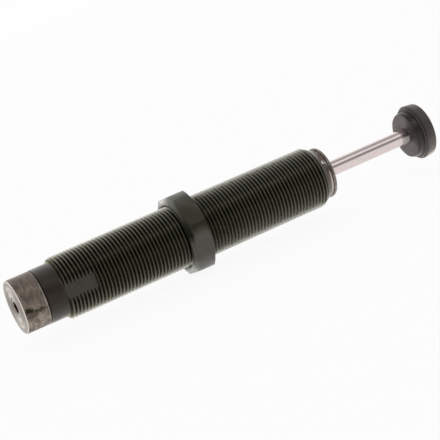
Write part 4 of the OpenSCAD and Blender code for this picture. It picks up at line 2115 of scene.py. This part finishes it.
@dataclass(frozen=True)
class Studio:
    """Camera, floor, light tent and lamps. The tent's axis is the object's own.

    Sizes are in metres, the lens and the sensor in millimetres.

    Attributes:
        eye: Place of the camera.
        right: The picture's right.
        up: The picture's up.
        lens: Focal length.
        sensor: Width of the sensor.
        clip: Nearest and farthest distance that the camera sees.
        floor_z: Height of the floor.
        floor_size: Its side.
        floor_share: Share of its own look, beside plain white.
        floor_tones: Darkest and lightest tone of the floor.
        floor_grain: How the tones follow the noise.
        floor_scale: Scale of that noise, per metre.
        floor_rough: Roughness of the floor.
        tent_r: Radius of the light tent.
        tent_len: Its length.
        tent_sides: Its sides.
        level: Brightness of the world.
        bands: Brightness of the tent by its angle, in degrees.
        aim: The point that the lamps face.
        lamps: The lamps.
    """

    eye: Point = (-0.12129803, -0.56039673, 0.11956919)
    right: Point = (0.85906875, -0.39196074, -0.32919245)
    up: Point = (0.37961717, 0.05647212, 0.92341849)
    lens: float = 127.545
    sensor: float = 36.0
    clip: tuple[float, float] = (0.01, 60.0)
    floor_z: float = -0.0165
    floor_size: float = 24.0
    floor_share: float = 0.08
    floor_tones: tuple[float, float] = (0.89, 0.92)
    floor_grain: Fade = Fade(0.3, 0.7)
    floor_scale: float = 60.0
    floor_rough: float = 0.9
    tent_r: float = 4.0
    tent_len: float = 20.0
    tent_sides: int = 96
    level: float = 0.8
    bands: tuple[tuple[float, float], ...] = (
        (-180, 1.0), (-14, 1.0), (-3, 0.8), (6, 0.5), (16, 0.34), (26, 0.32), (38, 0.55),
        (48, 0.98), (55, 1.18), (62, 0.98), (74, 0.54), (90, 0.42), (110, 0.65), (132, 1.15),
        (150, 1.25), (180, 1.25),
    )
    aim: Point = (0.09, 0.0, 0.0)
    lamps: tuple[Softbox, ...] = (
        Softbox("key_lamp", (0.34, -0.56, 0.76), 1.5, 0.26, 1.8),
        Softbox("side_lamp", (-0.93, -0.27, 0.26), 1.5, 0.35, 2.5),
    )

    def camera(self) -> None:
        """Puts the camera at the object's rear left, a little above the axis."""
        data = bpy.data.cameras.new("camera")
        data.lens = self.lens
        data.sensor_width = self.sensor
        data.clip_start, data.clip_end = self.clip
        camera = bpy.data.objects.new("camera", data)
        bpy.context.scene.collection.objects.link(camera)
        right, up = Vector(self.right), Vector(self.up)
        turn = Matrix((right, up, right.cross(up))).transposed().to_4x4()
        camera.matrix_world = Matrix.Translation(self.eye) @ turn
        bpy.context.scene.camera = camera

    def seen(self, sheet: Sheet) -> Socket:
        """Gives 1 to the rays that show the background: camera, glossy and transmission.

        Args:
            sheet: The sheet to work on.

        Returns:
            The mask of those rays.
        """
        rays = sheet.add("ShaderNodeLightPath").outputs
        glossy = sheet.math("MAXIMUM", rays["Is Glossy Ray"], rays["Is Transmission Ray"])
        return sheet.math("MAXIMUM", rays["Is Camera Ray"], glossy)

    def pick(self, sheet: Sheet, share: object, first: object, second: object) -> object:
        """Mixes two shaders.

        Args:
            sheet: The sheet to work on.
            share: Share of the second shader.
            first: Output of the first shader.
            second: Output of the second shader.

        Returns:
            The mixed shader's output.
        """
        node = sheet.add("ShaderNodeMixShader")
        for item, target in zip((share, first, second), node.inputs):
            sheet.join(item, target)
        return node.outputs[0]

    def world(self) -> None:
        """Shows a white background, and lights the object at a plain level."""
        world = bpy.data.worlds.new("studio")
        bpy.context.scene.world = world
        world.use_nodes = True
        world.node_tree.nodes.clear()
        sheet = Sheet(world.node_tree)
        light, white = sheet.add("ShaderNodeBackground"), sheet.add("ShaderNodeBackground")
        light.inputs["Color"].default_value = (self.level, self.level, self.level, 1)
        white.inputs["Color"].default_value = (1, 1, 1, 1)
        shown = self.pick(sheet, self.seen(sheet), light.outputs[0], white.outputs[0])
        sheet.join(shown, sheet.add("ShaderNodeOutputWorld").inputs[0])

    def floor(self) -> None:
        """Lays the pale floor, which keeps the object's shadow."""
        bpy.ops.mesh.primitive_plane_add(size=self.floor_size, location=(0, 0, self.floor_z))
        floor = bpy.context.object
        floor.name = floor.data.name = "floor"
        material = bpy.data.materials.new("floor_paper")
        material.use_nodes = True
        sheet, nodes = Sheet(material.node_tree), material.node_tree.nodes
        paper = nodes["Principled BSDF"]
        grain = sheet.fade(sheet.noise(sheet.place(), self.floor_scale), self.floor_grain)
        dark, pale = ((tone, tone, tone) for tone in self.floor_tones)
        sheet.join(sheet.blend(grain, dark, pale), paper.inputs["Base Color"])
        paper.inputs["Roughness"].default_value = self.floor_rough
        paper.inputs["Specular IOR Level"].default_value = 0.0
        white = sheet.add("ShaderNodeEmission")
        share = sheet.both(self.seen(sheet), 1 - self.floor_share)
        shown = self.pick(sheet, share, paper.outputs[0], white.outputs[0])
        sheet.join(shown, nodes["Material Output"].inputs[0])
        floor.data.materials.append(material)
        floor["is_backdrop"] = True

    def tent(self) -> None:
        """Hangs the light tent, whose brightness changes round the object's axis."""
        bpy.ops.mesh.primitive_cylinder_add(
            vertices=self.tent_sides, radius=self.tent_r, depth=self.tent_len,
            end_fill_type="NOTHING", rotation=(0, math.pi / 2, 0),
        )
        tent = bpy.context.object
        tent.name = tent.data.name = "light_tent"
        bpy.ops.object.transform_apply(location=True, rotation=True, scale=True)
        tent.visible_camera = False
        tent.visible_shadow = False
        material = bpy.data.materials.new("tent_cloth")
        material.use_nodes = True
        material.node_tree.nodes.clear()
        sheet = Sheet(material.node_tree)
        glow = sheet.add("ShaderNodeEmission")
        sheet.join(self.brightness(sheet), glow.inputs["Color"])
        sheet.join(glow.outputs[0], sheet.add("ShaderNodeOutputMaterial").inputs[0])
        tent.data.materials.append(material)
        tent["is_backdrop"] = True

    def brightness(self, sheet: Sheet) -> Socket:
        """Gives the tent's brightness by the angle round its axis.

        Args:
            sheet: The tent's sheet.

        Returns:
            The brightness.
        """
        split = sheet.add("ShaderNodeSeparateXYZ")
        sheet.join(sheet.place(), split.inputs[0])
        _, across, above = split.outputs
        angle = sheet.math("ARCTAN2", above, sheet.both(across, -1.0))
        ramp = sheet.add("ShaderNodeValToRGB")
        sheet.join(sheet.math("MULTIPLY_ADD", angle, 0.5 / math.pi, 0.5), ramp.inputs[0])
        stops = ramp.color_ramp.elements
        while len(stops) > 1:
            stops.remove(stops[-1])
        for count, (degrees, level) in enumerate(self.bands):
            place = (degrees + 180) / 360
            stop = stops.new(place) if count else stops[0]
            stop.position, stop.color = place, (level, level, level, 1.0)
        return ramp.outputs[0]

    def lamp(self, box: Softbox) -> None:
        """Hangs one soft lamp, turned to the object.

        Args:
            box: The lamp.
        """
        data = bpy.data.lights.new(box.name, "AREA")
        data.shape = "SQUARE"
        data.size = box.size
        data.energy = box.level * math.pi * box.size**2
        lamp = bpy.data.objects.new(box.name, data)
        bpy.context.scene.collection.objects.link(lamp)
        towards = Vector(box.towards).normalized()
        lamp.matrix_world = (
            Matrix.Translation(towards * box.away + Vector(self.aim))
            @ towards.to_track_quat("Z", "Y").to_matrix().to_4x4()
        )
        lamp.visible_camera = False

    def build(self) -> None:
        """Builds the studio."""
        self.camera()
        self.world()
        self.floor()
        self.tent()
        for box in self.lamps:
            self.lamp(box)
        bpy.context.scene.view_settings.view_transform = "Standard"


class Dresser:
    """Builds every finish once and knows which one each piece takes."""

    BY_SLOT = {
        "blackened_steel": "blackened_thread", "nut_steel": "blackened_nut",
        "bare_steel": "stained_steel", "zinc_steel": "zinc_steel",
        "chrome_rod": "hard_chrome", "spring_steel": "spring_wire",
        "bronze": "sintered_bronze", "brass": "turned_brass",
        "gland_black": "browned_gland", "hub_steel": "blackened_hub",
        "cap_black": "blackened_cap", "rubber": "nitrile", "seal_rubber": "urethane",
        "foam": "foam_rubber", "ring_plastic": "filled_plastic",
    }
    BY_NODE = {"adjuster_spindle": "spindle_steel"}

    def __init__(self, at: Stations) -> None:
        """Builds the finishes.

        Args:
            at: The places along the axis.
        """
        groups = Groups()
        finishes = (*self.outer(at), *self.inner())
        self.built = {finish.name: finish.build(groups) for finish in finishes}

    def outer(self, at: Stations) -> tuple[Finish, ...]:
        """Gives the finishes that show.

        Args:
            at: The places along the axis.

        Returns:
            The finishes.
        """
        return (
            ThreadFinish(
                "blackened_thread", (0.046, 0.045, 0.029), (0.034, 0.033, 0.020),
                rough=0.2, rough_rise=0.08, marks=0.12, specular=0.4, painted_sheen_level=1.0,
                tint=(1.0, 0.98, 0.78),
            ),
            NutFinish(
                "blackened_nut", (0.022, 0.0215, 0.013), (0.015, 0.0145, 0.009),
                rough=0.24, rough_rise=0.1, coarse=170.0, specular=0.34, painted_sheen_level=1.2,
                tint=(1.0, 0.98, 0.8),
            ),
            PlugFinish(
                "stained_steel", (0.235, 0.195, 0.162), (0.098, 0.082, 0.064),
                metallic=1.0, rough=0.42, rough_rise=0.08, marks=0.2, coarse=320.0,
                seam=at.neck - SEAM_GAP,
            ),
            SpindleFinish(
                "spindle_steel", (0.42, 0.39, 0.36), (0.3, 0.27, 0.25),
                metallic=1.0, rough=0.34, face_shade=(0.20, 0.17, 0.145),
            ),
            RodFinish(
                "hard_chrome", (0.72, 0.625, 0.612), (0.68, 0.58, 0.57),
                metallic=1.0, rough=0.09, rough_rise=0.03, marks=0.02, end_x=at.head,
            ),
            GlandFinish(
                "browned_gland", (0.24, 0.205, 0.18), (0.11, 0.09, 0.077),
                metallic=1.0, rough=0.24, rough_rise=0.14, blotch=0.9, coarse=420.0, painted_sheen_level=0.6,
                groove_end=at.nose + GLAND_GROOVE,
            ),
            HubFinish(
                "blackened_hub", (0.026, 0.022, 0.020), (0.014, 0.011, 0.010),
                rough=0.36, rough_rise=0.1, coarse=330.0, specular=0.4, painted_sheen_level=1.0,
                # the hub's face colours: a painted highlight and a painted shade
                face_x=at.head, face=(0.118, 0.096, 0.092), face_shade=(0.008, 0.0065, 0.006),
                sheen_colour=(1.0, 0.90, 0.86), tint=(1.0, 0.92, 0.90),
            ),
            CapFinish(
                "blackened_cap", (0.052, 0.042, 0.036), (0.029, 0.022, 0.019),
                rough=0.4, rough_rise=0.12, coarse=300.0, painted_sheen_level=1.0, sheen_colour=(1.0, 0.94, 0.88),
                tint=(1.0, 0.95, 0.9),
            ),
        )

    def inner(self) -> tuple[Finish, ...]:
        """Gives the finishes of what is held inside.

        Returns:
            The finishes.
        """
        return (
            Finish("zinc_steel", (0.42, 0.39, 0.36), (0.3, 0.27, 0.25), metallic=1.0, rough=0.34),
            Finish("spring_wire", (0.16, 0.15, 0.14), (0.08, 0.075, 0.07), metallic=0.9),
            Finish("sintered_bronze", (0.50, 0.30, 0.12), (0.3, 0.17, 0.07), metallic=1.0),
            Finish("turned_brass", (0.62, 0.45, 0.17), (0.5, 0.35, 0.12), metallic=1.0, rough=0.22),
            Finish("nitrile", (0.012, 0.012, 0.012), (0.02, 0.02, 0.02), rough=0.5),
            Finish("urethane", (0.016, 0.02, 0.018), (0.022, 0.025, 0.022), rough=0.4),
            Finish(
                "foam_rubber", (0.03, 0.03, 0.028), (0.012, 0.012, 0.011),
                rough=0.85, marks=0.9, coarse=1200.0,
            ),
            Finish("filled_plastic", (0.09, 0.065, 0.045), (0.06, 0.045, 0.03), rough=0.45),
        )

    def finish(self, node: str, slot: str) -> Material:
        """Gives the material of a piece.

        Args:
            node: The CAD node.
            slot: The record's material slot.

        Returns:
            The material.
        """
        return self.built[self.BY_NODE.get(node, self.BY_SLOT[slot])]

    def dress(self, frame: dict) -> None:
        """Gives each CAD node a procedural material.
        """
        for part in frame["record"]["subparts"]:
            name = part["node"]
            materials = frame["nodes"][name].data.materials
            material = self.finish(name, part["material_slot"])
            if not materials:
                materials.append(material)
            for i in range(len(materials)):
                materials[i] = material


def corners(box: tuple[Sequence[float], Sequence[float]]) -> list[list[float]]:
    """Turns a box into plain lists of numbers."""
    return [[float(v) for v in corner] for corner in box]


def main() -> None:
    """Builds the studio, the pieces and their finishes."""
    logging.basicConfig(level=logging.INFO, format="%(name)s %(message)s")
    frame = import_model()
    cad_box = corners(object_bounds())
    at = Stations.read()
    bench = Bench()
    bench.clear()
    Studio(floor_z=cad_box[0][2]).build()
    dresser = Dresser(at)
    dresser.dress(frame)
    housing = Housing(neck_x=at.neck, nose_x=at.nose)
    nut = LockNut(x=at.nut, length=at.nut_end - at.nut)
    plug = RearEnd(neck_x=at.neck, seam_x=at.neck - SEAM_GAP, spigot_end_x=at.spigot_end)
    gland = FrontEnd(
        rear_x=at.gland_rear, nose_x=at.nose, front_x=at.front, rod_r=at.rod_r + ROD_PLAY
    )
    head = ImpactHead(
        rod_r=at.rod_r, rod_rear_x=at.rod_rear, shoulder_x=at.shoulder, head_x=at.head
    )
    low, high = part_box("return_spring")
    spring = ReturnSpring(x=low.x / MM, end_x=high.x / MM)
    made = {
        node: Piece(make(bench), body, node, slot, dresser.finish(node, slot))
        for make, body, node, slot in (
            (housing.build, Body.HOUSING, "outer_body", "blackened_steel"),
            (nut.build, Body.NUT, "lock_nut", "nut_steel"),
            (plug.build, Body.HOUSING, "rear_plug", "bare_steel"),
            (gland.build, Body.HOUSING, "front_gland", "gland_black"),
            (head.rod, Body.ROD, "piston_rod", "chrome_rod"),
            (head.button, Body.ROD, "rod_button", "hub_steel"),
            (head.cap, Body.ROD, "impact_cap", "cap_black"),
            (spring.build, Body.HOUSING, "return_spring", "spring_steel"),
        )
    }
    for piece in made.values():
        piece.settle()
    spring.shorten(made["return_spring"].thing)


if __name__ == "__main__":
    main()
